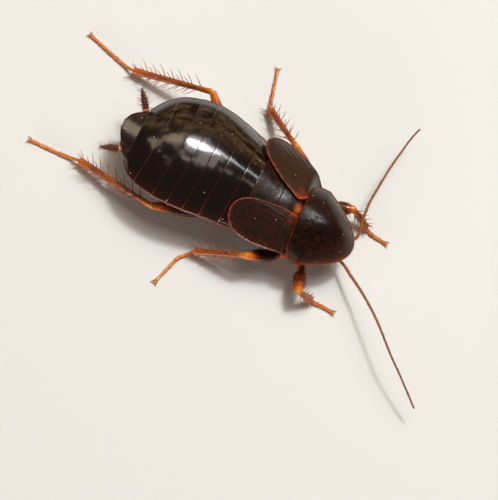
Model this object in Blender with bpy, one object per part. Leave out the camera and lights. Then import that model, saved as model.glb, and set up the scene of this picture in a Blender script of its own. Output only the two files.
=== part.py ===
"""A wood cockroach, a short-winged female, as a still life-size model.

The animal stands on its six feet with +X towards the head, +Y to its left and +Z up, and the
origin under the middle of the whole model. Places on the body are given in millimetres in the
body's own survey: forward of the tail tip, to the left of the midline, and above the floor.
"""
import math

import bmesh
import bpy
import numpy as np
from mathutils import Matrix, Vector

MM = 0.001
GAP = 0.3
ORIGIN_FORWARD = 8.38
ORIGIN_LEFT = 0.95

SHELL_THICKNESS = 0.5
LIMB_SIDES = 8
CUT_CLEARANCE = 0.2
RING_POINTS = 36

# Pronotum, the shield over the head
SHIELD_CENTRE = 11.6
SHIELD_LEFT = -0.12
SHIELD_HALF_WIDTH = 2.42
SHIELD_FRONT_REACH = 2.5
SHIELD_REAR_REACH = 0.95
SHIELD_REAR_SQUARENESS = 3.5
SHIELD_APEX_HEIGHT = 3.35
SHIELD_FRONT_HEIGHT = 1.75
SHIELD_SIDE_HEIGHT = 1.95
SHIELD_REAR_HEIGHT = 3.3
SHIELD_RIM_THICKNESS = 0.4
SHIELD_RIM_RAISE = 0.07
SHIELD_RIM_SHARE = 0.965
SHIELD_SHARES = (0.0, 0.2, 0.4, 0.57, 0.72, 0.84, 0.92, SHIELD_RIM_SHARE, 1.0)
SHIELD_DOME_POWER = 2.2
SHIELD_ARCH_POWER = 2.4

# Tegmina, the two short fore wings: side, base to the left, splay in degrees, length, half width
TEGMINA = {
    "left": (1, 1.4, 29.0, 3.4, 1.05),
    "right": (-1, -1.55, 7.0, 3.2, 1.12),
}
TEGMEN_BASE_FORWARD = 10.36
TEGMEN_BASE_NARROWING = 0.16
TEGMEN_BASE_SHARE = 0.25
TEGMEN_ROWS = (0.0, 0.12, 0.26, 0.42, 0.58, 0.72, 0.83, 0.91, 0.96, 0.985)
TEGMEN_COLUMNS = (-1.0, -0.85, -0.42, 0.0, 0.4, 0.85, 1.0)
TEGMEN_CREST_HEIGHT = 3.76
TEGMEN_FALL = 0.132
TEGMEN_TIP_RAISE = 0.47
VEIN_RAISE = 0.09
VEIN_HALF_WIDTH = 0.07
VEIN_PLACES = (-0.62, -0.22, 0.2, 0.6)

# Trunk: the flat underside that the hips lie against, and the belly
UNDERSIDE_HEIGHT = 1.35
BELLY_SQUARENESS = 1.5
THORAX_SQUARENESS = 3.0
TAIL_SQUARENESS = 2.0
PLATE_RAISE = 0.13
PLATE_SIDE_RAISE = 0.08
PLATE_MIDDLE_RAISE = 0.55
PLATE_STEP = 0.04

# Hips, knees and feet
HIP_HEIGHT = 0.75
KNEE_HEIGHT = 1.8
ANKLE_HEIGHT = 0.42
FOOT_HEIGHT = 0.21
FOOT_FIRST_SHARE = 0.3
FOOT_FIRST_RAISE = 0.03
SPINE_ROOT_RADIUS = 0.17
SPINE_TIP_RADIUS = 0.03
SPINE_SIDES = 5
SPINE_ROOT_DEPTH = 0.2
SPINES_FROM = 0.24
SPINES_SPREAD = 0.56
SPINES_STAGGER = 0.03
SPUR_BEFORE_ANKLE = 0.46
SPUR_SHARE = 0.75
THIGH_SPINE_SHARE = 0.5
THIGH_SPINE_DEPTH = 0.25
THIGH_SPINE_PLACES = (0.42, 0.56, 0.7)
CLAW_LENGTH = 0.42
CLAW_RADIUS = 0.12
CLAW_SPREAD = 0.2
CLAW_ROOT_HEIGHT = 0.18
CLAW_TIP_HEIGHT = 0.07

# Limb sections: share of the way, half size across the bend's plane, half size along it
COXA_SIZES = ((0.0, 0.28, 0.2), (0.16, 0.4, 0.3), (0.46, 0.42, 0.3), (0.64, 0.33, 0.29), (1.0, 0.27, 0.26))
FEMUR_SIZES = ((0.0, 0.26, 0.25), (0.2, 0.34, 0.27), (0.42, 0.45, 0.28), (0.68, 0.4, 0.28),
               (0.86, 0.3, 0.27), (1.0, 0.27, 0.26))
TIBIA_SIZES = ((0.0, 0.26, 0.25), (0.12, 0.25, 0.25), (0.5, 0.25, 0.25), (0.85, 0.27, 0.25), (1.0, 0.25, 0.24))

# Head
HEAD_CROWN = (13.0, 0.0, 1.88)
HEAD_MOUTH = (12.3, 0.0, 0.3)
EYE_ALONG_HEAD = 0.36
EYE_INNER_SIDE = 0.8
EYE_BULGE = 0.38
EYE_HALF_DEPTH = 0.4
EYE_HALF_HEIGHT = 0.43
EYE_RISES = (0.0, 0.35, 0.65, 0.85, 0.96)
SOCKET_SPREAD = 0.38
SOCKET_ALONG_HEAD = 0.56
SOCKET_FROM = 0.3
SOCKET_TO = 0.56
HEAD_POINTS = 20
EYE_POINTS = 16
LIP_ALONG_HEAD = 0.74
LIP_OUT = 0.36
LIP_LENGTH = 0.42
LIP_LEAN = 0.1
JAW_ALONG_HEAD = 0.84
PALP_ALONG_HEAD = 0.88
PALP_LOWEST = 0.33
PALP_RADII = (0.18, 0.2, 0.2, 0.12)

# Head sections: share of the way down the face, half width, half depth
HEAD_SECTIONS = ((0.0, 0.4, 0.2), (0.07, 0.78, 0.37), (0.2, 1.02, 0.47), (0.4, 1.06, 0.5),
                 (0.58, 0.92, 0.5), (0.74, 0.66, 0.44), (0.88, 0.5, 0.34), (1.0, 0.36, 0.2))
LIP_SECTIONS = ((0.0, 0.34, 0.14), (0.5, 0.36, 0.16), (1.0, 0.24, 0.1))

# Feelers and tail feelers
FEELER_RADIUS = 0.25
FEELER_END_RADII = (0.22, 0.17, 0.1)
SCAPE_LENGTH = 0.5
SCAPE_RADII = (0.24, 0.26, 0.25)
CERCUS_SWELL = ((0.0, 0.2), (0.2, 0.29), (0.26, 0.26), (0.42, 0.3), (0.48, 0.26), (0.64, 0.27),
                (0.7, 0.22), (0.84, 0.19), (1.0, 0.06))


def survey_to_world(point):
    """Body survey in millimetres to the model's own frame in metres."""
    forward, left, height = point
    return Vector(((forward - ORIGIN_FORWARD) * MM, (left - ORIGIN_LEFT) * MM, height * MM))


def make_material(name, colour, roughness):
    """A plain finish with the photo's colour."""
    material = bpy.data.materials.new(name)
    material.use_nodes = True
    shader = material.node_tree.nodes["Principled BSDF"]
    shader.inputs["Base Color"].default_value = (*colour, 1.0)
    shader.inputs["Roughness"].default_value = roughness
    shader.inputs["Metallic"].default_value = 0.0
    material.diffuse_color = (*colour, 1.0)
    return material


class Studio:
    """The collections and finishes that the model's objects share."""

    def __init__(self):
        for thing in list(bpy.data.objects):
            bpy.data.objects.remove(thing, do_unlink=True)
        self.parts = bpy.data.collections.new("wood_cockroach")
        self.tools = bpy.data.collections.new("wood_cockroach_tools")
        for collection in (self.parts, self.tools):
            bpy.context.scene.collection.children.link(collection)
        self.finish = {
            "black_cuticle": make_material("black_cuticle", (0.012, 0.007, 0.006), 0.12),
            "shield_cuticle": make_material("shield_cuticle", (0.03, 0.009, 0.005), 0.18),
            "wing_cuticle": make_material("wing_cuticle", (0.07, 0.016, 0.008), 0.2),
            "amber_cuticle": make_material("amber_cuticle", (0.3, 0.07, 0.015), 0.28),
            "feeler_cuticle": make_material("feeler_cuticle", (0.2, 0.06, 0.02), 0.4),
            "eye_cuticle": make_material("eye_cuticle", (0.008, 0.006, 0.006), 0.1),
        }


def add_mesh(studio, name, points, faces, finish, collection=None):
    """One mesh object from survey points in millimetres."""
    mesh = bpy.data.meshes.new(name)
    mesh.from_pydata([survey_to_world(p) for p in points], [], faces)
    mesh.validate()
    mesh.materials.append(studio.finish[finish])
    thing = bpy.data.objects.new(name, mesh)
    (collection or studio.parts).objects.link(thing)
    face_outwards(thing)
    return thing


def face_outwards(thing):
    """Turns every face of one closed body outwards."""
    shape = bmesh.new()
    shape.from_mesh(thing.data)
    bmesh.ops.recalc_face_normals(shape, faces=shape.faces)
    if shape.calc_volume(signed=True) < 0:
        bmesh.ops.reverse_faces(shape, faces=shape.faces)
    shape.to_mesh(thing.data)
    shape.free()


def loft(studio, name, rings, finish, collection=None):
    """A closed body through a row of rings with equal point counts, its two ends filled flat."""
    count = len(rings[0])
    points = [tuple(p) for ring in rings for p in ring]
    faces = []
    for row in range(len(rings) - 1):
        for k in range(count):
            a = row * count + k
            b = row * count + (k + 1) % count
            faces.append((a, b, b + count, a + count))
    faces.append(tuple(range(count)))
    last = (len(rings) - 1) * count
    faces.append(tuple(range(last, last + count)))
    return add_mesh(studio, name, points, faces, finish, collection)


def shell(studio, name, top, bottom, finish, closed_round):
    """A closed plate between two grids, split into like triangles on both faces.

    The grids run over rows and columns. With closed_round the columns meet in a circle and
    the first row is one point.
    """
    rows, columns = top.shape[:2]
    points = [tuple(p) for p in top.reshape(-1, 3)] + [tuple(p) for p in bottom.reshape(-1, 3)]
    under = rows * columns
    faces = []
    spans = columns if closed_round else columns - 1
    for i in range(rows - 1):
        for j in range(spans):
            a = i * columns + j
            b = i * columns + (j + 1) % columns
            c, d = b + columns, a + columns
            if closed_round and i == 0:
                halves = [(0, c, d)]
            else:
                halves = [(a, b, c), (a, c, d)]
            for half in halves:
                faces.append(half)
                faces.append(tuple(under + k for k in reversed(half)))
    rim = [(rows - 1) * columns + j for j in range(columns)]
    if not closed_round:
        right = [i * columns + columns - 1 for i in range(rows - 2, -1, -1)]
        back = list(range(columns - 2, -1, -1))
        left = [i * columns for i in range(1, rows - 1)]
        rim = rim + right + back + left
    for k, here in enumerate(rim):
        there = rim[(k + 1) % len(rim)]
        faces.append((here, there, under + there))
        faces.append((here, under + there, under + here))
    thing = add_mesh(studio, name, points, faces, finish)
    drop_loose_points(thing)
    return thing


def drop_loose_points(thing):
    """Removes points that no face uses."""
    shape = bmesh.new()
    shape.from_mesh(thing.data)
    loose = [v for v in shape.verts if not v.link_faces]
    bmesh.ops.delete(shape, geom=loose, context="VERTS")
    shape.to_mesh(thing.data)
    shape.free()


def unit(vector):
    """The vector at length one."""
    return np.asarray(vector, float) / np.linalg.norm(vector)


def limb(studio, name, start, end, sizes, frame, cuts, finish):
    """One straight piece of a limb, an oval section carried from start to end.

    sizes holds rows of (share of the way, half size along frame's first axis, half size along
    the second). cuts holds the normals of the planes that close the two ends, each set back by
    half a gap from the joint. A section too near a slanted end is left out.
    """
    start, end = np.asarray(start, float), np.asarray(end, float)
    axis = unit(end - start)
    span = np.linalg.norm(end - start)
    across, upright = frame
    turn = 2 * math.pi * (np.arange(LIMB_SIDES) + 0.5) / LIMB_SIDES
    slants = [math.sqrt(1 - (axis @ unit(cut)) ** 2) / (axis @ unit(cut)) for cut in cuts]
    rings = []
    for share, half_across, half_upright in sizes:
        near_start = 0 < share and share * span < half_across * slants[0] + CUT_CLEARANCE
        near_end = share < 1 and (1 - share) * span < half_across * slants[1] + CUT_CLEARANCE
        if near_start or near_end:
            continue
        ring = start + axis * span * share
        ring = ring + np.outer(np.cos(turn) * half_across, across)
        ring = ring + np.outer(np.sin(turn) * half_upright, upright)
        rings.append(ring)
    for ring, joint, normal, side in ((rings[0], start, cuts[0], 1), (rings[-1], end, cuts[1], -1)):
        normal = unit(normal)
        plane = joint + normal * side * GAP / 2
        reach = ((plane - ring) @ normal) / (axis @ normal)
        ring += np.outer(reach, axis)
    return loft(studio, name, rings, finish)


def section_axes(direction, towards):
    """Two axes across a limb: the first in the plane that also holds towards."""
    direction = unit(direction)
    first = np.asarray(towards, float) - direction * (np.asarray(towards, float) @ direction)
    first = unit(first)
    return first, np.cross(direction, first)


def path_tube(studio, name, path, radii, finish, floor=None, first_cut=None, collection=None):
    """A round limb along a bent path, with a flat sole where floor is given."""
    path = np.asarray(path, float)
    steps = np.diff(path, axis=0)
    tangents = np.vstack([steps[:1], (unit_rows(steps[:-1]) + unit_rows(steps[1:])), steps[-1:]])
    tangents = unit_rows(tangents)
    rings = []
    up = np.array([0.0, 0.0, 1.0])
    for point, tangent, radius in zip(path, tangents, radii):
        across = unit(np.cross(up, tangent))
        upright = np.cross(tangent, across)
        turn = 2 * math.pi * (np.arange(LIMB_SIDES) + 0.5) / LIMB_SIDES
        ring = point + radius * (np.outer(np.cos(turn), across) + np.outer(np.sin(turn), upright))
        rings.append(ring)
    if first_cut is not None:
        normal = unit(first_cut)
        plane = path[0] + normal * GAP / 2
        reach = ((plane - rings[0]) @ normal) / (tangents[0] @ normal)
        rings[0] += np.outer(reach, tangents[0])
    if floor is not None:
        for ring in rings:
            ring[:, 2] = np.maximum(ring[:, 2], floor)
    return loft(studio, name, rings, finish, collection)


def unit_rows(rows):
    """Every row at length one."""
    return rows / np.linalg.norm(rows, axis=1, keepdims=True)


def cone(studio, name, root, tip, root_radius, finish, sides=SPINE_SIDES, tip_radius=SPINE_TIP_RADIUS):
    """A tapering spine, claw, jaw or socket from a sunk root to its tip."""
    root, tip = survey_to_world(root), survey_to_world(tip)
    mesh = bpy.data.meshes.new(name)
    shape = bmesh.new()
    bmesh.ops.create_cone(shape, cap_ends=True, segments=sides, radius1=root_radius * MM,
                          radius2=tip_radius * MM, depth=(tip - root).length)
    turn = (tip - root).to_track_quat("Z", "Y").to_matrix().to_4x4()
    shape.transform(Matrix.Translation((root + tip) / 2) @ turn)
    shape.to_mesh(mesh)
    shape.free()
    mesh.materials.append(studio.finish[finish])
    thing = bpy.data.objects.new(name, mesh)
    studio.tools.objects.link(thing)
    return thing


def keep_largest_body(mesh):
    """Keeps the closed surface that has the most room inside."""
    shape = bmesh.new()
    shape.from_mesh(mesh)
    unseen = set(shape.verts)
    bodies = []
    while unseen:
        stack = [unseen.pop()]
        body = set(stack)
        while stack:
            for edge in stack.pop().link_edges:
                for vertex in edge.verts:
                    if vertex in unseen:
                        unseen.discard(vertex)
                        body.add(vertex)
                        stack.append(vertex)
        bodies.append(body)
    if len(bodies) > 1:
        def spread(body):
            places = np.array([v.co for v in body])
            return float(np.prod(places.max(axis=0) - places.min(axis=0)))
        bodies.sort(key=spread)
        small = [v for body in bodies[:-1] for v in body]
        bmesh.ops.delete(shape, geom=small, context="VERTS")
    shape.to_mesh(mesh)
    shape.free()


def combine(studio, base, pieces, operation="UNION"):
    """Joins or cuts base with all pieces in one step, and removes the pieces."""
    if not pieces:
        return base
    group = bpy.data.collections.new("joining")
    bpy.context.scene.collection.children.link(group)
    for piece in pieces:
        for holder in list(piece.users_collection):
            holder.objects.unlink(piece)
        group.objects.link(piece)
    change = base.modifiers.new("join", "BOOLEAN")
    change.operation = operation
    change.operand_type = "COLLECTION"
    change.collection = group
    change.solver = "MANIFOLD"
    view = bpy.context.evaluated_depsgraph_get()
    mesh = bpy.data.meshes.new_from_object(base.evaluated_get(view))
    base.modifiers.clear()
    base.data = mesh
    for piece in pieces:
        bpy.data.objects.remove(piece, do_unlink=True)
    bpy.data.collections.remove(group)
    keep_largest_body(mesh)
    mesh.name = base.name
    return base


def midline(forward):
    """How far the bent trunk's midline lies to the left."""
    places = (-0.5, 1.0, 2.5, 4.5, 7.0, 9.0, 10.8, 14.0)
    lefts = (-0.18, -0.14, 0.04, 0.18, 0.2, 0.1, 0.0, 0.0)
    return np.interp(forward, places, lefts)


def oval_ring(forward, half_width, side_height, top, bottom, belly_squareness):
    """A lens-shaped section of the trunk: a domed back over a flatter belly."""
    turn = 2 * math.pi * np.arange(RING_POINTS) / RING_POINTS
    left = half_width * np.cos(turn)
    rise = np.sin(turn)
    back = side_height + (top - side_height) * np.maximum(rise, 0)
    share = np.abs(np.cos(turn)) ** belly_squareness
    belly = side_height - (side_height - bottom) * (1 - share) ** (1 / belly_squareness)
    height = np.where(rise >= 0, back, belly)
    ring = np.zeros((RING_POINTS, 3))
    ring[:, 0] = forward
    ring[:, 1] = left + midline(forward)
    ring[:, 2] = height
    return ring


# Abdomen: (forward, half width, side height, top, bottom)
ABDOMEN_PROFILE = np.array([
    (0.9, 1.5, 2.0, 2.42, 1.62),
    (1.5, 2.28, 2.1, 2.78, 1.45),
    (2.3, 2.85, 2.3, 3.12, 1.22),
    (3.3, 3.2, 2.42, 3.4, 1.02),
    (4.4, 3.32, 2.48, 3.54, 0.95),
    (5.4, 3.25, 2.42, 3.56, 1.1),
    (6.2, 3.12, 2.3, 3.42, 1.35),
    (7.0, 2.98, 2.1, 3.06, 1.35),
    (7.5, 2.86, 1.95, 2.76, 1.35),
    (8.2, 2.5, 1.85, 2.66, 1.35),
])
ABDOMEN_FRONT = 8.05
ABDOMEN_REAR = 1.02
PLATE_MARGINS = (7.0, 5.95, 5.05, 4.2, 3.35, 2.2, 1.02)
PLATE_BOW = 0.3

# Tail plate: (forward, half width, top, bottom)
TAIL_PROFILE = ((0.72, 1.24, 2.34, 1.62), (0.42, 0.98, 2.26, 1.64), (0.14, 0.62, 2.17, 1.68),
                (-0.1, 0.24, 2.08, 1.75))


def abdomen_sizes(forward):
    """Half width, side height, top and bottom of the abdomen at one place."""
    return [float(np.interp(forward, ABDOMEN_PROFILE[:, 0], ABDOMEN_PROFILE[:, k])) for k in range(1, 5)]


def plate_ring(forward, raise_share, bow):
    """A ring on one back plate, raised towards its hind margin and bowed back at the sides."""
    half_width, side_height, top, bottom = abdomen_sizes(forward)
    lift = PLATE_RAISE * raise_share
    side_lift = PLATE_SIDE_RAISE * raise_share
    ring = oval_ring(forward, half_width + side_lift, side_height, top + lift, bottom, BELLY_SQUARENESS)
    aside = np.abs(ring[:, 1] - midline(forward)) / (half_width + lift)
    ring[:, 0] -= bow * aside ** 2
    return ring


def build_abdomen(studio):
    """The abdomen, its back plates overlapping like roof tiles from front to rear."""
    rings = []
    start, bow_before = ABDOMEN_FRONT, 0.0
    for margin in PLATE_MARGINS:
        bow = PLATE_BOW * (1 - margin / ABDOMEN_FRONT) if margin > ABDOMEN_REAR else 0.0
        rings.append(plate_ring(start, 0.0, bow_before))
        rings.append(plate_ring((start + margin) / 2, PLATE_MIDDLE_RAISE, (bow + bow_before) / 2))
        rings.append(plate_ring(margin, 1.0, bow))
        start, bow_before = margin - PLATE_STEP, bow
    return loft(studio, "abdomen", rings[::-1], "black_cuticle")


def build_tail_plate(studio):
    """The last back plate and the plate under it, which close the body behind."""
    rings = []
    for forward, half_width, top, bottom in TAIL_PROFILE:
        rings.append(oval_ring(forward, half_width, (top + bottom) / 2, top, bottom, TAIL_SQUARENESS))
    return loft(studio, "tail_plate", rings[::-1], "black_cuticle")


def build_thorax(studio):
    """The three segments that carry the legs, each behind the last with a thin cut between."""
    segments = {
        "prothorax": ((11.05, 1.55, 1.7, 2.3), (11.3, 1.62, 1.7, 2.42), (11.65, 1.6, 1.7, 2.38),
                      (11.9, 1.45, 1.65, 2.24)),
        "mesothorax": ((9.55, 2.18, 1.85, 2.88), (10.0, 2.1, 1.85, 2.84), (10.4, 1.9, 1.8, 2.54),
                       (10.75, 1.62, 1.75, 2.36)),
        "metathorax": ((8.35, 2.4, 1.85, 2.78), (8.7, 2.36, 1.85, 2.84), (9.25, 2.24, 1.85, 2.88)),
    }
    for name, sections in segments.items():
        rings = [oval_ring(forward, half_width, side_height, top, UNDERSIDE_HEIGHT, THORAX_SQUARENESS)
                 for forward, half_width, side_height, top in sections]
        loft(studio, name, rings, "shield_cuticle")


def shield_outline(turn):
    """Forward and left reach of the shield's edge at a turn from straight ahead."""
    ahead, aside = math.cos(turn), math.sin(turn)
    if ahead >= 0:
        return SHIELD_FRONT_REACH * ahead ** 2, SHIELD_HALF_WIDTH * aside
    power = 2 / SHIELD_REAR_SQUARENESS
    forward = -SHIELD_REAR_REACH * abs(ahead) ** power
    return forward, SHIELD_HALF_WIDTH * math.copysign(abs(aside) ** power, aside)


def shield_edge_height(forward, left):
    """Height of the shield's edge: low in front, arched over the wings behind."""
    aside = min(abs(left) / SHIELD_HALF_WIDTH, 1.0)
    if forward >= 0:
        return SHIELD_FRONT_HEIGHT + (SHIELD_SIDE_HEIGHT - SHIELD_FRONT_HEIGHT) * aside ** 2
    return SHIELD_SIDE_HEIGHT + (SHIELD_REAR_HEIGHT - SHIELD_SIDE_HEIGHT) * (1 - aside ** SHIELD_ARCH_POWER)


def build_pronotum(studio):
    """The domed shield, with its narrow turned-up rim."""
    turns = [2 * math.pi * k / RING_POINTS for k in range(RING_POINTS)]
    top = np.zeros((len(SHIELD_SHARES), RING_POINTS, 3))
    bottom = np.zeros_like(top)
    for j, turn in enumerate(turns):
        reach, left = shield_outline(turn)
        edge = shield_edge_height(reach, left)
        for i, share in enumerate(SHIELD_SHARES):
            height = edge + (SHIELD_APEX_HEIGHT - edge) * (1 - share ** SHIELD_DOME_POWER)
            rim = SHIELD_RIM_RAISE if share == SHIELD_RIM_SHARE else 0.0
            thickness = SHELL_THICKNESS + (SHIELD_RIM_THICKNESS - SHELL_THICKNESS) * share ** 2
            place = (SHIELD_CENTRE + reach * share, SHIELD_LEFT + left * share)
            top[i, j] = (*place, height + rim)
            bottom[i, j] = (*place, height - thickness)
    return shell(studio, "pronotum", top, bottom, "shield_cuticle", True)


def tegmen_height(left, share):
    """Height of a fore wing's upper face, falling to the side and rising to its tip."""
    return TEGMEN_CREST_HEIGHT - TEGMEN_FALL * left ** 2 + TEGMEN_TIP_RAISE * share ** 2


def build_tegmen(studio, label):
    """One short fore wing: a curved plate with its main veins raised as ridges."""
    side, base_left, splay_degrees, length, widest = TEGMINA[label]
    columns = list(TEGMEN_COLUMNS)
    for place in VEIN_PLACES:
        columns += [place - VEIN_HALF_WIDTH, place, place + VEIN_HALF_WIDTH]
    columns.sort()
    splay = math.radians(splay_degrees)
    along = np.array([-math.cos(splay), math.sin(splay) * side])
    outward = np.array([math.sin(splay), math.cos(splay) * side])
    top = np.zeros((len(TEGMEN_ROWS), len(columns), 3))
    bottom = np.zeros_like(top)
    for i, share in enumerate(TEGMEN_ROWS):
        narrowing = TEGMEN_BASE_NARROWING * max(1 - share / TEGMEN_BASE_SHARE, 0.0)
        half_width = widest * math.sqrt(1 - share ** 4) * (1 - narrowing)
        for j, column in enumerate(columns):
            spot = np.array([TEGMEN_BASE_FORWARD, base_left]) + along * length * share
            spot = spot + outward * half_width * column
            height = tegmen_height(spot[1] - midline(spot[0]), share)
            vein = VEIN_RAISE * (1 - share ** 3) if column in VEIN_PLACES and share > 0 else 0.0
            top[i, j] = (*spot, height + vein)
            bottom[i, j] = (*spot, height - SHELL_THICKNESS)
    return shell(studio, "tegmen_" + label, top, bottom, "wing_cuticle", False)


def head_axes():
    """Down the face, out of the face, and to the left, all of length one."""
    crown, mouth = np.array(HEAD_CROWN), np.array(HEAD_MOUTH)
    down = unit(mouth - crown)
    outward = np.array([-down[2], 0.0, down[0]])
    return crown, mouth, down, outward, np.array([0.0, 1.0, 0.0])


def build_head(studio):
    """The head capsule with upper lip, jaws and mouth feelers, cut away for the eyes."""
    crown, mouth, down, outward, left = head_axes()
    span = np.linalg.norm(mouth - crown)
    rings = []
    turn = 2 * math.pi * np.arange(HEAD_POINTS) / HEAD_POINTS
    for share, half_width, half_depth in HEAD_SECTIONS:
        ring = crown + down * span * share
        ring = ring + np.outer(np.cos(turn) * half_width, left) + np.outer(np.sin(turn) * half_depth, outward)
        rings.append(ring)
    head = loft(studio, "head", rings, "shield_cuticle")
    cutters = []
    for side in (1, -1):
        middle = crown + down * span * EYE_ALONG_HEAD
        rings = []
        for left_place in (EYE_INNER_SIDE - GAP, EYE_INNER_SIDE + 1.0):
            ring = middle + left * side * left_place
            ring = ring + np.outer(np.cos(turn) * (EYE_HALF_HEIGHT + GAP), down)
            ring = ring + np.outer(np.sin(turn) * (EYE_HALF_DEPTH + GAP), outward)
            rings.append(ring)
        cutters.append(loft(studio, "eye_cutter", rings, "shield_cuticle", studio.tools))
    combine(studio, head, cutters, "DIFFERENCE")
    growths = []
    lip_top = crown + down * span * LIP_ALONG_HEAD + outward * LIP_OUT
    lip_rings = []
    for share, half_width, half_depth in LIP_SECTIONS:
        ring = lip_top + down * LIP_LENGTH * share - outward * LIP_LEAN * share
        ring = ring + np.outer(np.cos(turn) * half_width, left) + np.outer(np.sin(turn) * half_depth, outward)
        lip_rings.append(ring)
    growths.append(loft(studio, "upper_lip", lip_rings, "shield_cuticle", studio.tools))
    for side in (1, -1):
        socket = crown + down * span * SOCKET_ALONG_HEAD + left * side * SOCKET_SPREAD
        growths.append(face_cone(studio, "socket", socket + outward * SOCKET_FROM,
                                 socket + outward * SOCKET_TO, 0.22, 0.2))
        jaw = crown + down * span * JAW_ALONG_HEAD + left * side * 0.4 + outward * 0.12
        jaw_tip = jaw + down * 0.34 - left * side * 0.3 + outward * 0.06
        growths.append(face_cone(studio, "jaw", jaw, jaw_tip, 0.2, 0.06))
        palp = crown + down * span * PALP_ALONG_HEAD + left * side * 0.36 - outward * 0.02
        reach = np.array([palp, palp + left * side * 0.36 + down * 0.02 + outward * 0.14,
                          palp + left * side * 0.5 + down * 0.06 + outward * 0.55,
                          palp + left * side * 0.46 + down * 0.12 + outward * 0.95])
        reach[:, 2] = np.maximum(reach[:, 2], PALP_LOWEST)
        growths.append(path_tube(studio, "mouth_feeler", reach, PALP_RADII, "shield_cuticle",
                                 collection=studio.tools))
    return combine(studio, head, growths)


def face_cone(studio, name, root, tip, root_radius, tip_radius):
    """A blunt cone that grows out of the head."""
    return cone(studio, name, root, tip, root_radius, "shield_cuticle", LIMB_SIDES, tip_radius)


def build_eye(studio, side):
    """One compound eye, a low oval dome facing outwards."""
    crown, mouth, down, outward, left = head_axes()
    span = np.linalg.norm(mouth - crown)
    middle = crown + down * span * EYE_ALONG_HEAD
    turn = 2 * math.pi * np.arange(EYE_POINTS) / EYE_POINTS
    rings = []
    for rise in EYE_RISES:
        size = math.sqrt(1 - rise ** 2)
        ring = middle + left * side * (EYE_INNER_SIDE + EYE_BULGE * rise)
        ring = ring + np.outer(np.cos(turn) * EYE_HALF_HEIGHT * size, down)
        ring = ring + np.outer(np.sin(turn) * EYE_HALF_DEPTH * size, outward)
        rings.append(ring)
    name = "eye_left" if side > 0 else "eye_right"
    return loft(studio, name, rings, "eye_cuticle")


FEELER_PATHS = {
    "left": ((14.0, 0.96, 0.88), (13.88, 1.75, 1.42), (13.77, 2.85, 1.66), (13.83, 3.87, 1.74),
             (13.92, 5.1, 1.83), (14.1, 6.4, 1.9), (14.3, 7.6, 1.82), (14.5, 8.32, 1.7)),
    "right": ((14.1, -0.8, 0.9), (14.6, -1.2, 1.05), (15.41, -1.81, 1.3), (16.54, -2.78, 1.6),
              (17.3, -3.5, 1.69), (18.2, -4.38, 1.68), (19.36, -5.31, 1.5), (20.72, -6.36, 1.1)),
}


def build_feeler(studio, side):
    """One antenna: its thick first joint, then the long whip."""
    crown, mouth, down, outward, left = head_axes()
    label = "left" if side > 0 else "right"
    path = np.array(FEELER_PATHS[label])
    span = np.linalg.norm(mouth - crown)
    socket = crown + down * span * SOCKET_ALONG_HEAD + left * side * SOCKET_SPREAD + outward * SOCKET_TO
    middle = socket + outward * SCAPE_LENGTH + left * side * 0.08
    bend = unit(unit(path[0] - middle) + unit(path[1] - path[0]))
    stub = path_tube(studio, "scape_" + label, [socket + outward * GAP / 2, middle, path[0]], SCAPE_RADII,
                     "feeler_cuticle", first_cut=outward)
    trim_end(stub, path[0], bend)
    radii = [FEELER_RADIUS] * (len(path) - len(FEELER_END_RADII)) + list(FEELER_END_RADII)
    return path_tube(studio, "flagellum_" + label, path, radii, "feeler_cuticle", first_cut=bend)


def trim_end(thing, joint, normal):
    """Slides the last ring of a tube along its side edges back to half a gap from a joint plane."""
    plane = survey_to_world(joint) - Vector(normal) * GAP / 2 * MM
    normal = Vector(normal)
    vertices = thing.data.vertices
    last = len(vertices) - LIMB_SIDES
    for k in range(LIMB_SIDES):
        before = vertices[last - LIMB_SIDES + k].co
        here = vertices[last + k].co
        direction = (here - before).normalized()
        here += direction * ((plane - here).dot(normal) / direction.dot(normal))


# Each leg: places of hip root, hip, knee, ankle and the foot's path, and spine rows on the shin
LEGS = {
    "front_left": {"root": (11.5, 1.25), "hip": (11.85, 1.88), "knee": (13.2, 2.4, 1.0),
                   "ankle": (14.3, 2.1), "foot": ((14.9, 1.95), (15.6, 1.9)),
                   "rows": 2, "spine": 0.5, "thigh_spines": 0},
    "front_right": {"root": (11.72, -1.3), "hip": (12.08, -1.98), "knee": (12.48, -3.6, 1.4),
                    "ankle": (13.3, -3.25), "foot": ((13.9, -3.18), (14.62, -3.2)),
                    "rows": 2, "spine": 0.5, "thigh_spines": 0},
    "middle_left": {"root": (10.15, 0.8), "hip": (11.0, 2.3), "knee": (8.84, 3.75, KNEE_HEIGHT),
                    "ankle": (6.61, 5.79), "foot": ((6.34, 6.9), (6.0, 8.25)),
                    "rows": 4, "spine": 0.75, "thigh_spines": 2},
    "middle_right": {"root": (9.95, -0.75), "hip": (10.9, -1.75), "knee": (9.12, -3.36, KNEE_HEIGHT),
                     "ankle": (6.57, -3.9), "foot": ((6.02, -4.5), (5.78, -5.24), (5.5, -6.3)),
                     "rows": 4, "spine": 0.75, "thigh_spines": 2},
    "hind_left": {"root": (7.65, 0.75), "hip": (6.2, 1.8), "knee": (3.45, 4.32, KNEE_HEIGHT),
                  "ankle": (-1.02, 3.95), "foot": ((-2.45, 4.35), (-3.95, 4.78)),
                  "rows": 5, "spine": 0.85, "thigh_spines": 3},
    "hind_right": {"root": (7.75, -0.7), "hip": (6.6, -1.5), "knee": (3.39, -3.17, 1.45),
                   "ankle": (-1.18, -2.3), "foot": ((-2.81, -2.4), (-3.95, -2.46)),
                   "rows": 5, "spine": 0.85, "thigh_spines": 2},
}


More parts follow.
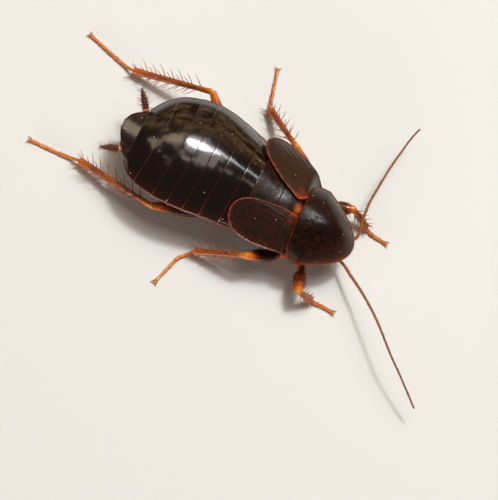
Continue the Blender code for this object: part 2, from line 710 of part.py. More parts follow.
def shin_spines(studio, knee, ankle, rows, length):
    """Long spines along both sides of a shin, leaning to the foot, and spurs round its end."""
    axis = unit(ankle - knee)
    span = np.linalg.norm(ankle - knee)
    spines = []
    across = unit(np.cross((0.0, 0.0, 1.0), axis))
    upright = np.cross(axis, across)
    for row in range(rows):
        share = SPINES_FROM + SPINES_SPREAD * (row + 0.5) / rows
        for side in (1, -1):
            spot = knee + axis * span * (share + SPINES_STAGGER * side)
            lean = unit(axis * 0.75 + across * side + upright * 0.35)
            reach = length * (0.86 + 0.14 * ((row * 2 + (side > 0)) % 3))
            spines.append((spot, spot + lean * (reach + SPINE_ROOT_DEPTH)))
    for side in (1, -1):
        spot = ankle - axis * SPUR_BEFORE_ANKLE
        lean = unit(axis * 0.35 + across * side + upright * 0.3)
        spines.append((spot, spot + lean * (length * SPUR_SHARE + SPINE_ROOT_DEPTH)))
    return [cone(studio, "spine", root, tip, SPINE_ROOT_RADIUS, "amber_cuticle") for root, tip in spines]


def thigh_spines(studio, hip, knee, across, length, count):
    """A few stout spines under the outer half of a thigh."""
    axis = unit(knee - hip)
    span = np.linalg.norm(knee - hip)
    spines = []
    for share in THIGH_SPINE_PLACES[:count]:
        spot = hip + axis * span * share + across * 0.12
        spines.append((spot, spot + unit(across + axis * 0.5) * (length + THIGH_SPINE_DEPTH)))
    return [cone(studio, "spine", root, tip, SPINE_ROOT_RADIUS, "amber_cuticle") for root, tip in spines]


def build_leg(studio, label, leg):
    """Hip, thigh, shin and foot of one leg, cut square to each joint's bisector."""
    root = np.array((*leg["root"], HIP_HEIGHT))
    hip = np.array((*leg["hip"], HIP_HEIGHT))
    knee = np.array(leg["knee"])
    ankle = np.array((*leg["ankle"], ANKLE_HEIGHT))
    foot = [np.array((*place, FOOT_HEIGHT)) for place in leg["foot"]]
    hip_way, thigh_way, shin_way = unit(hip - root), unit(knee - hip), unit(ankle - knee)
    foot_start = ankle + (foot[0] - ankle) * FOOT_FIRST_SHARE
    foot_start[2] = FOOT_HEIGHT + FOOT_FIRST_RAISE
    foot_way = unit(foot_start - ankle)
    hip_cut = unit(hip_way + thigh_way)
    knee_cut = unit(thigh_way + shin_way)
    ankle_cut = unit(shin_way + foot_way)
    level = np.array([0.0, 0.0, 1.0])
    hip_axes = section_axes(hip_way, np.cross(level, hip_way))
    limb(studio, "coxa_" + label, root, hip, COXA_SIZES, hip_axes, (hip_way, hip_cut), "amber_cuticle")
    thigh_axes = section_axes(thigh_way, shin_way)
    thigh = limb(studio, "femur_" + label, hip, knee, FEMUR_SIZES, thigh_axes, (hip_cut, knee_cut),
                 "amber_cuticle")
    shin_axes = section_axes(shin_way, thigh_way)
    shin = limb(studio, "tibia_" + label, knee, ankle, TIBIA_SIZES, shin_axes, (knee_cut, ankle_cut),
                "amber_cuticle")
    combine(studio, thigh, thigh_spines(studio, hip, knee, thigh_axes[0],
                                        leg["spine"] * THIGH_SPINE_SHARE, leg["thigh_spines"]))
    combine(studio, shin, shin_spines(studio, knee, ankle, leg["rows"], leg["spine"]))
    path, radii = foot_path([ankle, foot_start] + foot)
    tarsus = path_tube(studio, "tarsus_" + label, path, radii, "amber_cuticle", floor=0.0, first_cut=ankle_cut)
    tip, way = path[-1], unit(path[-1] - path[-2])
    side_way = unit(np.cross(level, way))
    claws = []
    for side in (1, -1):
        start = tip - way * 0.16 + side_way * side * 0.06
        start[2] = CLAW_ROOT_HEIGHT
        end = start + way * CLAW_LENGTH + side_way * side * CLAW_SPREAD
        end[2] = CLAW_TIP_HEIGHT
        claws.append(cone(studio, "claw", start, end, CLAW_RADIUS, "amber_cuticle"))
    combine(studio, tarsus, claws)


def foot_path(stations):
    """Five foot joints along the stations, each swelling towards its end."""
    stations = np.array(stations)
    steps = np.linalg.norm(np.diff(stations, axis=0), axis=1)
    along = np.concatenate([[0.0], np.cumsum(steps)])
    share = along / along[-1]
    joints = (0.0, 0.2, 0.42, 0.46, 0.6, 0.64, 0.74, 0.78, 0.86, 0.9, 1.0)
    radii = (0.21, 0.24, 0.26, 0.21, 0.25, 0.21, 0.25, 0.21, 0.24, 0.21, 0.17)
    marks = sorted(set(joints) | set(np.round(share[1:-1], 3)))
    path = [[np.interp(mark, share, stations[:, k]) for k in range(3)] for mark in marks]
    return np.array(path), [float(np.interp(mark, joints, radii)) for mark in marks]


CERCI = {
    "left": ((0.66, 1.46, 2.04), (0.08, 2.13, 2.52)),
    "right": ((0.46, -1.62, 2.04), (-0.33, -2.03, 2.52)),
}


def build_cercus(studio, label):
    """One tail feeler: a ringed spindle that stands out beside the last plate."""
    start, end = (np.array(place) for place in CERCI[label])
    axis = unit(end - start)
    towards = np.array([0.0, 0.0, 1.0])
    sizes = [(share, radius, radius) for share, radius in CERCUS_SWELL]
    return limb(studio, "cercus_" + label, start, end, sizes, section_axes(axis, towards),
                (axis, axis), "shield_cuticle")


def main():
    """Builds the whole animal."""
    studio = Studio()
    build_abdomen(studio)
    build_tail_plate(studio)
    build_thorax(studio)
    build_pronotum(studio)
    for label in TEGMINA:
        build_tegmen(studio, label)
    build_head(studio)
    for side in (1, -1):
        build_eye(studio, side)
        build_feeler(studio, side)
    for label, leg in LEGS.items():
        build_leg(studio, label, leg)
    for label in CERCI:
        build_cercus(studio, label)


main()
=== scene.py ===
"""A short-winged wood cockroach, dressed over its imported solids.

Places are worked out in the animal's own survey: millimetres forward of the tail tip, to the
left of the midline and above the floor. to_world carries them to the model's frame in metres.
Every piece is a closed surface computed as whole arrays. Each point carries a tone from 0 to 1,
which its finish turns into colour.
"""
from __future__ import annotations

import logging
import math
from dataclasses import dataclass, replace
from enum import Enum
from typing import Callable, Sequence, Union

import bmesh
import bpy
import numpy as np
from mathutils import Matrix

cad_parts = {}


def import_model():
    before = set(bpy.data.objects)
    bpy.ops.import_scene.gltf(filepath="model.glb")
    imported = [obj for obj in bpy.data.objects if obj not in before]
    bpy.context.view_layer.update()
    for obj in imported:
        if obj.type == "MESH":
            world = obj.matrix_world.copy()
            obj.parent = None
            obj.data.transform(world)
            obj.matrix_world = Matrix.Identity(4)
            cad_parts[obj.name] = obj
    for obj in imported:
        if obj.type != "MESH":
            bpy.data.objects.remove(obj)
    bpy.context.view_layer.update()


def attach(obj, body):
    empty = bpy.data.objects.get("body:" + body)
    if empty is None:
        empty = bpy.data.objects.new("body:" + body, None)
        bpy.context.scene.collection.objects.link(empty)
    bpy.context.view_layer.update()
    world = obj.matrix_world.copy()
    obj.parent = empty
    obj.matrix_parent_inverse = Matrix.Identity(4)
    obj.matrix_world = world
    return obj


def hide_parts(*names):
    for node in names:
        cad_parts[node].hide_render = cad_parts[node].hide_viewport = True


LOG = logging.getLogger("wood_cockroach")
MM = 0.001
SURVEY_ORIGIN = np.array([8.38, 0.95, 0.0])
UP = np.array([0.0, 0.0, 1.0])
AHEAD = np.array([1.0, 0.0, 0.0])
LEFT = np.array([0.0, 1.0, 0.0])
SEED = 1405
UNWRAP_NAME = "OFBake"
UNWRAP_STRIPS = 16
TUFT_PATCH = 0.0015
EDGE_DROP = 0.48
HORN_IOR = 1.56
LEAST_ROUGHNESS = 0.06
MOTTLE_DETAIL = 4.0
DULL_SCALE = 0.6
DULL_DETAIL = 3.0
FOLD_DETAIL = 5.0
PIT_DETAIL = 2.0
WRINKLE_DEPTH = 40e-6
PIT_DEPTH = 12e-6
GLOW_RADIUS = (1.0, 0.35, 0.12)
GLOW_SCALE = 0.00025
# Pale specks on some finishes: dust, and painted glints that stand in for pinpoint highlights.
SPECK_SCALE = 1500.0
SPECK_RADIUS = 0.065
DUST_AND_GLINT_COLOUR = (0.5, 0.38, 0.22)

Array = np.ndarray
Place = tuple[float, float, float]
Colour = tuple[float, float, float]
Socket = bpy.types.NodeSocket
Feed = Union[Socket, float, tuple]


def to_world(points: Array) -> Array:
    """Survey millimetres to metres in the model's frame: (point - origin) x 0.001."""
    return (np.asarray(points, float) - SURVEY_ORIGIN) * MM


def unit(vectors: Array) -> Array:
    """Each vector divided by its length."""
    vectors = np.asarray(vectors, float)
    return vectors / np.maximum(np.linalg.norm(vectors, axis=-1, keepdims=True), 1e-12)


def ease(low: float, high: float, value: Array) -> Array:
    """Smooth step 3t^2 - 2t^3, with t the value's clamped share of the way from low to high."""
    share = np.clip((np.asarray(value, float) - low) / (high - low), 0.0, 1.0)
    return share * share * (3.0 - 2.0 * share)


def bell(value: Array, centre: float, width: float) -> Array:
    """Bell curve exp(-((value - centre) / width)^2)."""
    return np.exp(-(((value - centre) / width) ** 2))


def full_turn(count: int) -> Array:
    """Even turns round a circle: 2 pi k / count."""
    return 2 * math.pi * np.arange(count) / count


def smooth_curve(places: Array, stations: Sequence[float], values: Array, limited: bool = True) -> Array:
    """Cubic Hermite curve through stations, its slopes the weighted mean of the spans beside each.

    Args:
        places: where to read the curve; places outside the stations take the end values.
        stations: rising stations.
        values: one number or one row of numbers for each station.
        limited: sets the slope to zero at a peak or dip, so that the curve never overshoots.

    Returns:
        The curve's values, one row for each place.
    """
    stations = np.asarray(stations, float)
    values = np.asarray(values, float)
    flat = values.ndim == 1
    values = values[:, None] if flat else values
    places = np.clip(np.asarray(places, float), stations[0], stations[-1])
    spans = np.diff(stations)[:, None]
    slopes = np.diff(values, axis=0) / spans
    tangents = np.vstack([slopes[:1], np.zeros_like(slopes[1:]), slopes[-1:]])
    tangents[1:-1] = (slopes[:-1] * spans[1:] + slopes[1:] * spans[:-1]) / (spans[1:] + spans[:-1])
    if limited:
        tangents[1:-1][slopes[:-1] * slopes[1:] <= 0.0] = 0.0
    index = np.clip(np.searchsorted(stations, places, side="right") - 1, 0, len(stations) - 2)
    span = spans[index, 0]
    t = ((places - stations[index]) / span)[..., None]
    span = span[..., None]
    result = ((2 * t**3 - 3 * t**2 + 1) * values[index] + (t**3 - 2 * t**2 + t) * span * tangents[index]
              + (3 * t**2 - 2 * t**3) * values[index + 1] + (t**3 - t**2) * span * tangents[index + 1])
    return result[..., 0] if flat else result


def smooth_path(stations: Sequence[Sequence[float]], count: int) -> Array:
    """A smooth path through stations, its points evenly spaced along its length.

    Args:
        stations: places in survey millimetres.
        count: number of points.

    Returns:
        count points; first the Hermite curve over chord length, then read at even arc length.
    """
    stations = np.asarray(stations, float)
    chord = np.concatenate([[0.0], np.cumsum(np.linalg.norm(np.diff(stations, axis=0), axis=1))])
    fine = smooth_curve(np.linspace(0.0, chord[-1], count * 6), chord, stations, limited=False)
    arc = np.concatenate([[0.0], np.cumsum(np.linalg.norm(np.diff(fine, axis=0), axis=1))])
    even = np.linspace(0.0, arc[-1], count)
    return np.stack([np.interp(even, arc, fine[:, k]) for k in range(3)], axis=1)


def edged_samples(count: int, band: float, steps: int) -> Array:
    """Samples from 0 to 1: even inside, and within band of each end spaced as 1 - cosine.

    Args:
        count: number of even samples.
        band: share taken up by each end.
        steps: samples in each end.

    Returns:
        The samples.
    """
    curl = band * (1.0 - np.cos(np.linspace(0.0, math.pi / 2, steps, endpoint=False)))
    inner = np.linspace(band, 1.0 - band, count)
    return np.concatenate([curl, inner, 1.0 - curl[::-1]])


def curl_share(distance: Array, band: float) -> Array:
    """How far a rounded edge has fallen, 1 - sqrt(1 - (1 - d/band)^2), at distance d from it."""
    inside = np.clip(1.0 - distance / band, 0.0, 1.0)
    return 1.0 - np.sqrt(1.0 - inside**2)


@dataclass
class Patch:
    """One or more closed surfaces: points in survey millimetres, faces, tones and unwrap places."""

    points: Array
    quads: Array
    tris: Array
    tone: Array
    spread: Array | None = None


def join(patches: Sequence[Patch]) -> Patch:
    """Several patches as one, their faces renumbered behind one another.

    Args:
        patches: the patches, in order.

    Returns:
        One patch with all their points and faces.
    """
    offsets = np.cumsum([0] + [len(p.points) for p in patches[:-1]])
    spreads = [p.spread if p.spread is not None else np.zeros((len(p.points), 2)) for p in patches]
    return Patch(
        np.vstack([p.points for p in patches]),
        np.vstack([p.quads + k for p, k in zip(patches, offsets)]),
        np.vstack([p.tris + k for p, k in zip(patches, offsets)]),
        np.concatenate([p.tone for p in patches]),
        np.vstack(spreads),
    )


def grid_quads(rows: int, columns: int, closed: bool) -> Array:
    """Quads of a grid whose point (i, j) is number i x columns + j; closed joins its side edges.

    Args:
        rows: rows of points.
        columns: points in a row.
        closed: whether the rows are rings.

    Returns:
        Four point numbers a quad.
    """
    i, j = np.meshgrid(np.arange(rows - 1), np.arange(columns if closed else columns - 1), indexing="ij")
    here = i * columns + j
    beside = i * columns + (j + 1) % columns
    return np.stack([here, beside, beside + columns, here + columns], axis=-1).reshape(-1, 4)


def fan(pole: int, ring: Array) -> Array:
    """Triangles from a pole to a closed ring of points."""
    return np.stack([np.full(len(ring), pole), ring, np.roll(ring, -1)], axis=-1)


def pole_caps(rows: int, sides: int, turned: bool = False) -> Array:
    """Triangles from the end rings of a closed grid to its two poles, numbered behind its points.

    Args:
        rows: rings of the grid.
        sides: points in a ring.
        turned: whether they face the other way.

    Returns:
        Three point numbers a triangle.
    """
    last = rows * sides
    first_ring, last_ring = np.arange(sides)[::-1], np.arange(sides) + last - sides
    if turned:
        first_ring, last_ring = first_ring[::-1], last_ring[::-1]
    return np.vstack([fan(last, first_ring), fan(last + 1, last_ring)])


def tube(path: Array, across_size: Array | float, upright_size: Array | float, sides: int = 20,
         reference: Array = UP, tone: Array | float = 0.0, squareness: float = 2.0) -> Patch:
    """A closed tube: ring k is path[k] + across x a x cos' + upright x b x sin' over the whole turn.

    Args:
        path: points along the middle.
        across_size: half size along cross(reference, way).
        upright_size: half size along the other axis.
        sides: points in each ring.
        reference: direction that is never along the path.
        tone: one tone, or one for each ring.
        squareness: exponent of the superellipse, 2 for an oval; cos' is sign(cos)|cos|^(2/squareness).

    Returns:
        The tube with a pole in the middle of each end.
    """
    path = np.asarray(path, float)
    rows = len(path)
    ways = unit(np.gradient(path, axis=0))
    across = unit(np.cross(reference, ways))
    upright = np.cross(ways, across)
    turn = full_turn(sides)
    power = 2.0 / squareness
    cosine = np.sign(np.cos(turn)) * np.abs(np.cos(turn)) ** power
    sine = np.sign(np.sin(turn)) * np.abs(np.sin(turn)) ** power
    a = np.broadcast_to(across_size, rows)[:, None] * cosine
    b = np.broadcast_to(upright_size, rows)[:, None] * sine
    rings = path[:, None] + a[..., None] * across[:, None] + b[..., None] * upright[:, None]
    points = np.vstack([rings.reshape(-1, 3), path[:1], path[-1:]])
    tones = np.broadcast_to(tone, rows)
    tones = np.concatenate([np.repeat(tones, sides), tones[:1], tones[-1:]])
    return Patch(points, grid_quads(rows, sides, True), pole_caps(rows, sides), tones)


def ball(centre: Array, axes: Array, sides: int = 16, rows: int = 10, tone: float = 0.0) -> Patch:
    """An ellipsoid: centre + axes[0] cos(a) sin(b) + axes[1] sin(a) sin(b) + axes[2] cos(b).

    Args:
        centre: its middle.
        axes: its three half axes.
        sides: points in a ring.
        rows: rings from pole to pole.
        tone: its one tone.

    Returns:
        The closed patch.
    """
    down = math.pi * (np.arange(rows) + 0.5) / rows
    turn = full_turn(sides)
    a = np.outer(np.sin(down), np.cos(turn))[..., None] * axes[0]
    b = np.outer(np.sin(down), np.sin(turn))[..., None] * axes[1]
    c = np.outer(np.cos(down), np.ones(sides))[..., None] * axes[2]
    points = np.vstack([(centre + a + b + c).reshape(-1, 3), [centre + axes[2]], [centre - axes[2]]])
    return Patch(points, grid_quads(rows, sides, True), pole_caps(rows, sides, turned=True),
                 np.full(len(points), tone))


def surface_normals(grid: Array, closed: bool) -> Array:
    """Unit normals of a grid of points: the cross product of its central differences.

    Args:
        grid: the points, row by row.
        closed: whether the rows are rings.

    Returns:
        One normal a point.
    """
    if closed:
        beside = np.roll(grid, -1, axis=1) - np.roll(grid, 1, axis=1)
    else:
        beside = np.gradient(grid, axis=1)
    along = np.gradient(grid, axis=0)
    normals = unit(np.cross(beside, along))
    if normals[..., 2].sum() < 0:
        normals = -normals
    return normals


def plate(surface: Callable[[Array, Array], Array], rows: Array, columns: Array, thickness: float,
          bands: tuple[float, float], tone: Callable[[Array, Array], Array]) -> Patch:
    """A thin closed plate under a surface of (column share u, row share v), with all edges rounded.

    The two faces stand at the surface minus normal x drop and minus normal x (thickness - drop).
    The drop is EDGE_DROP x thickness x the larger curl of the two nearest edges.

    Args:
        surface: gives the points for grids of u and v from 0 to 1.
        rows: samples of v.
        columns: samples of u.
        thickness: plate thickness in millimetres.
        bands: width of the rounded band as a share of u and of v.
        tone: gives the tone for grids of u and v.

    Returns:
        The plate.
    """
    u, v = np.meshgrid(columns, rows)
    top = surface(u, v)
    normals = surface_normals(top, False)
    curl = np.maximum(curl_share(np.minimum(u, 1 - u), bands[0]),
                      curl_share(np.minimum(v, 1 - v), bands[1]))
    drop = (EDGE_DROP * thickness * curl)[..., None]
    upper = top - normals * drop
    lower = top - normals * (thickness - drop)
    count = top.shape[0] * top.shape[1]
    quads = grid_quads(len(rows), len(columns), False)
    width, height = len(columns), len(rows)
    rim = np.concatenate([np.arange(width), np.arange(1, height) * width + width - 1,
                          np.arange(width - 2, -1, -1) + (height - 1) * width,
                          np.arange(height - 2, 0, -1) * width])
    edge = np.stack([rim, rim + count, np.roll(rim, -1) + count, np.roll(rim, -1)], axis=-1)
    tones = tone(u, v).ravel()
    return Patch(np.vstack([upper.reshape(-1, 3), lower.reshape(-1, 3)]),
                 np.vstack([quads, quads[:, ::-1] + count, edge]), np.zeros((0, 3), int),
                 np.concatenate([tones, tones]))


def disc(surface: Callable[[Array, Array], Array], shares: Array, sides: int,
         thickness: Callable[[Array], Array], band: float, tone: Callable[[Array, Array], Array]) -> Patch:
    """A thin closed plate over a surface of (share of the way out, turn), with its edge rounded.

    Args:
        surface: gives the points for grids of share and turn.
        shares: samples of the share, from just above 0 to 1.
        sides: samples of the turn.
        thickness: thickness in millimetres for each share.
        band: width of the rounded edge as a share.
        tone: gives the tone for grids of share and turn.

    Returns:
        The plate, with a pole in the middle of each face.
    """
    turn, share = np.meshgrid(full_turn(sides), shares)
    top = surface(share, turn)
    normals = surface_normals(top, True)
    depth = thickness(share)
    drop = EDGE_DROP * depth * curl_share(1 - share, band)
    upper = top - normals * drop[..., None]
    lower = top - normals * (depth - drop)[..., None]
    rows, count = len(shares), top.shape[0] * top.shape[1]
    centre = surface(np.zeros((1, 1)), np.zeros((1, 1)))[0]
    points = np.vstack([upper.reshape(-1, 3), lower.reshape(-1, 3), centre, centre - UP * depth[0, 0]])
    quads = grid_quads(rows, sides, True)
    ring = np.arange(sides)
    outer = ring + (rows - 1) * sides
    edge = np.stack([outer, np.roll(outer, -1), np.roll(outer, -1) + count, outer + count], axis=-1)
    tris = np.vstack([fan(2 * count, ring[::-1]), fan(2 * count + 1, ring + count)])
    tones = tone(share, turn)
    return Patch(points, np.vstack([quads, quads[:, ::-1] + count, edge]), tris,
                 np.concatenate([tones.ravel(), tones.ravel(), [tones[0, 0]] * 2]))


def thorns(roots: Array, tips: Array, radii: Array | float, sides: int = 6, bend: Array | float = 0.0,
           tone: tuple[float, float] = (0.0, 0.0), rows: Sequence[float] = (0.0, 0.25, 0.55, 0.8),
           fullness: float = 0.75) -> Patch:
    """Many tapering points at once, each with a pole at its root and its tip.

    The middle of each runs root + (tip - root) t + bend x 4 t (1 - t), and its radius is
    radius x (1 - t)^fullness.

    Args:
        roots: root places.
        tips: tip places.
        radii: radius at each root.
        sides: points in each ring.
        bend: bulge vector for each thorn.
        tone: tone at the root and at the tip.
        rows: shares of the length that carry a ring.
        fullness: exponent of the taper.

    Returns:
        The thorns.
    """
    roots, tips = np.asarray(roots, float), np.asarray(tips, float)
    count = len(roots)
    ways = unit(tips - roots)
    reference = np.where(np.abs(ways[:, 2:3]) < 0.9, UP, AHEAD)
    across = unit(np.cross(reference, ways))
    upright = np.cross(ways, across)
    t = np.asarray(rows, float)
    bulge = np.broadcast_to(bend, (count, 3)) if np.ndim(bend) else np.zeros((count, 3))
    middle = (roots[:, None] + (tips - roots)[:, None] * t[:, None]
              + bulge[:, None] * (4 * t * (1 - t))[:, None])
    radius = np.broadcast_to(radii, count)[:, None] * (1 - t) ** fullness
    turn = full_turn(sides)
    ring = (np.cos(turn)[:, None] * across[:, None, None] + np.sin(turn)[:, None] * upright[:, None, None])
    rings = middle[:, :, None] + radius[..., None, None] * ring
    block = len(t) * sides
    points = np.concatenate([rings.reshape(count, block, 3), roots[:, None], tips[:, None]], axis=1)
    quads, tris = grid_quads(len(t), sides, True), pole_caps(len(t), sides)
    step = (np.arange(count) * (block + 2))[:, None, None]
    tones = tone[0] + (tone[1] - tone[0]) * np.concatenate([np.repeat(t, sides), [0.0, 1.0]])
    return Patch(points.reshape(-1, 3), (quads + step).reshape(-1, 4), (tris + step).reshape(-1, 3),
                 np.tile(tones, count))


def hairs(roots: Array, tips: Array, radius: float, places: Array, sides: int = 3,
          tone: tuple[float, float] = (0.3, 0.6)) -> Patch:
    """Fine hairs, each with its own small patch on the skin's unwrap.

    Args:
        roots: root places.
        tips: tip places.
        radius: radius at the root.
        places: the roots' places on the unwrap, from 0 to 1.
        sides: points in each ring.
        tone: tone at the root and at the tip.

    Returns:
        The hairs; their spread is the root's place plus a ring of radius TUFT_PATCH.
    """
    patch = thorns(roots, tips, radius, sides=sides, tone=tone, rows=(0.0, 0.5))
    turn = full_turn(sides)
    ring = np.stack([np.cos(turn), np.sin(turn)], axis=1) * TUFT_PATCH
    block = np.vstack([ring * 0.6, ring, [[0.0, 0.0]], [[0.0, 0.0]]])
    patch.spread = (np.asarray(places)[:, None] + block).reshape(-1, 2)
    return patch


class Slot(Enum):
    """Names of the material slots that the finishes belong to."""

    BLACK = "black_cuticle"
    SHIELD = "shield_cuticle"
    WING = "wing_cuticle"
    AMBER = "amber_cuticle"
    FEELER = "feeler_cuticle"
    EYE = "eye_cuticle"


@dataclass(frozen=True)
class ShaderNodes:
    """Adds shader nodes to one tree, with their inputs linked or set in the same step."""

    tree: bpy.types.NodeTree

    def feed(self, socket: Socket, source: Feed) -> None:
        """Links an input to another node's output, or sets it to a plain value."""
        if isinstance(source, bpy.types.NodeSocket):
            self.tree.links.new(source, socket)
        else:
            socket.default_value = source

    def add(self, kind: str, feeds: dict[str | int, Feed], output: str | int = 0,
            **settings: object) -> Socket:
        """Adds one node.

        Args:
            kind: the node's type.
            feeds: what each input gets, by its name or number.
            output: name or number of the output wanted.
            settings: the node's own settings.

        Returns:
            That output.
        """
        node = self.tree.nodes.new(kind)
        for name, value in settings.items():
            setattr(node, name, value)
        for key, source in feeds.items():
            self.feed(node.inputs[key], source)
        return node.outputs[output]

    def noise(self, place: Socket, scale: float, detail: float, output: str = "Fac") -> Socket:
        """Fractal noise of a scale per metre, read at place."""
        return self.add("ShaderNodeTexNoise", {"Scale": scale, "Detail": detail, "Vector": place}, output)

    def cells(self, place: Socket, scale: float) -> Socket:
        """Distance to the nearest of the scattered points, in shares of a cell."""
        return self.add("ShaderNodeTexVoronoi", {"Scale": scale, "Vector": place}, "Distance")

    def number(self, operation: str, *feeds: Feed) -> Socket:
        """One sum on sockets or plain numbers."""
        return self.add("ShaderNodeMath", dict(enumerate(feeds)), operation=operation)

    def vector(self, operation: str, feeds: dict[str | int, Feed], output: str | int = 0) -> Socket:
        """One sum on vectors."""
        return self.add("ShaderNodeVectorMath", feeds, output, operation=operation)

    def mix(self, share: Feed, under: Feed, over: Feed) -> Socket:
        """The colour under, with a share of the colour over."""
        return self.add("ShaderNodeMix", {"Factor": share, "A": under, "B": over}, "Result",
                        data_type="RGBA")

    def fade(self, value: Socket, low: float, high: float) -> Socket:
        """A smooth step of value from 0 at low to 1 at high."""
        return self.add("ShaderNodeMapRange", {"From Min": low, "From Max": high, "Value": value},
                        "Result", interpolation_type="SMOOTHSTEP")

    def bump(self, height: Socket, strength: float, distance: float, under: Socket | None = None) -> Socket:
        """A bump of a height in metres, over another normal where one is given.

        Args:
            height: the relief.
            strength: its strength.
            distance: metres for a height of 1.
            under: the normal below it, if any.

        Returns:
            The new normal.
        """
        feeds = {"Strength": strength, "Distance": distance, "Height": height}
        if under is not None:
            feeds["Normal"] = under
        return self.add("ShaderNodeBump", feeds, "Normal")

    def ramp(self, value: Socket, stops: Sequence[tuple[float, Colour]], interpolation: str) -> Socket:
        """A colour ramp through the stops, read at value.

        Args:
            value: where it is read, 0 to 1.
            stops: places and colours.
            interpolation: how it runs between stops.

        Returns:
            The colour.
        """
        node = self.tree.nodes.new("ShaderNodeValToRGB")
        node.color_ramp.interpolation = interpolation
        elements = node.color_ramp.elements
        elements[0].position, elements[1].position = stops[0][0], stops[-1][0]
        for where, _ in stops[1:-1]:
            elements.new(where)
        for element, (_, colour) in zip(elements, stops):
            element.color = (*colour, 1.0)
        self.tree.links.new(value, node.inputs["Fac"])
        return node.outputs["Color"]


@dataclass(frozen=True)
class Cuticle:
    """Polished horn: tone and a fine mottle pick the colour, pits and wrinkles catch the light."""

    name: str
    slot: Slot
    stops: tuple[tuple[float, Colour], ...]
    roughness: tuple[float, float] = (0.1, 0.2)
    mottle: float = 0.1
    mottle_scale: float = 2500.0
    pit_scale: float = 9000.0
    pit_strength: float = 0.15
    wrinkle_scale: float = 1500.0
    wrinkle_strength: float = 0.1
    coat: float = 0.6
    coat_roughness: float = 0.06
    specular: float = 0.5
    polish: float = 0.0
    glow: float = 0.0
    # Share of pale specks: dust, and painted glints.
    dust_and_glints: float = 0.0
    grain: Place = (1.0, 1.0, 1.0)
    matt: float = 0.0
    facets: bool = False

    def material(self) -> bpy.types.Material:
        """Builds the node material once and returns it.

        Returns:
            The material. Matt x tone is taken off the coat's weight.
        """
        known = bpy.data.materials.get(self.name)
        if known:
            return known
        material = bpy.data.materials.new(self.name)
        material.use_nodes = True
        nodes = ShaderNodes(material.node_tree)
        inputs = material.node_tree.nodes["Principled BSDF"].inputs
        place = nodes.add("ShaderNodeTexCoord", {}, "Object")
        tone = nodes.add("ShaderNodeAttribute", {}, "Fac", attribute_name="tone")
        nodes.feed(inputs["Base Color"], self.colour(nodes, place, tone))
        nodes.feed(inputs["Roughness"], self.dullness(nodes, place, tone))
        nodes.feed(inputs["Normal"], self.relief(nodes, place))
        inputs["Coat Weight"].default_value = self.coat
        inputs["Coat Roughness"].default_value = self.coat_roughness
        inputs["IOR"].default_value = HORN_IOR
        inputs["Specular IOR Level"].default_value = self.specular
        if self.matt:
            kept = nodes.number("MULTIPLY_ADD", tone, -self.matt, 1.0)
            kept = nodes.number("MAXIMUM", kept, 0.0)
            nodes.feed(inputs["Coat Weight"], nodes.number("MULTIPLY", kept, self.coat))
        if self.glow:
            inputs["Subsurface Weight"].default_value = self.glow
            inputs["Subsurface Radius"].default_value = GLOW_RADIUS
            inputs["Subsurface Scale"].default_value = GLOW_SCALE
        return material

    def colour(self, nodes: ShaderNodes, place: Socket, tone: Socket) -> Socket:
        """The base colour.

        Args:
            nodes: where nodes are added.
            place: where the noise is read.
            tone: the points' tone.

        Returns:
            Tone + mottle (2 noise - 1) -> colour ramp, strewn with pale specks where the finish asks for
            them, each of a radius of SPECK_RADIUS / SPECK_SCALE metres: dust, and painted glints.
        """
        patches = nodes.noise(place, self.mottle_scale, MOTTLE_DETAIL)
        shift = nodes.number("MULTIPLY_ADD", patches, 2 * self.mottle, -self.mottle)
        colour = nodes.ramp(nodes.number("ADD", tone, shift), self.stops, "EASE")
        if not self.dust_and_glints:
            return colour
        # Pale specks: dust, and painted glints.
        near = nodes.number("LESS_THAN", nodes.cells(place, SPECK_SCALE), SPECK_RADIUS)
        return nodes.mix(nodes.number("MULTIPLY", near, self.dust_and_glints), colour, (*DUST_AND_GLINT_COLOUR, 1.0))

    def dullness(self, nodes: ShaderNodes, place: Socket, tone: Socket) -> Socket:
        """The roughness.

        Args:
            nodes: where nodes are added.
            place: where the noise is read.
            tone: the points' tone.

        Returns:
            Noise between the two roughnesses, less polish x tone, and LEAST_ROUGHNESS or more.
        """
        low, high = self.roughness
        dull = nodes.noise(place, self.mottle_scale * DULL_SCALE, DULL_DETAIL)
        rough = nodes.number("MULTIPLY_ADD", dull, high - low, low)
        if self.polish:
            rough = nodes.number("MULTIPLY_ADD", tone, -self.polish, rough)
            rough = nodes.number("MAXIMUM", rough, LEAST_ROUGHNESS)
        return rough

    def relief(self, nodes: ShaderNodes, place: Socket) -> Socket:
        """The normal: wrinkles from noise stretched by the grain, and over them pits or facets.

        Args:
            nodes: the material's nodes.
            place: the point in metres.

        Returns:
            The normal.
        """
        grain = nodes.vector("MULTIPLY", {0: place, 1: self.grain})
        folds = nodes.noise(grain, self.wrinkle_scale, FOLD_DETAIL)
        if self.facets:
            pits = nodes.number("MULTIPLY", nodes.cells(place, self.pit_scale), -1.0)
        else:
            pits = nodes.noise(place, self.pit_scale, PIT_DETAIL)
        wrinkled = nodes.bump(folds, self.wrinkle_strength, WRINKLE_DEPTH)
        return nodes.bump(pits, self.pit_strength, PIT_DEPTH, wrinkled)


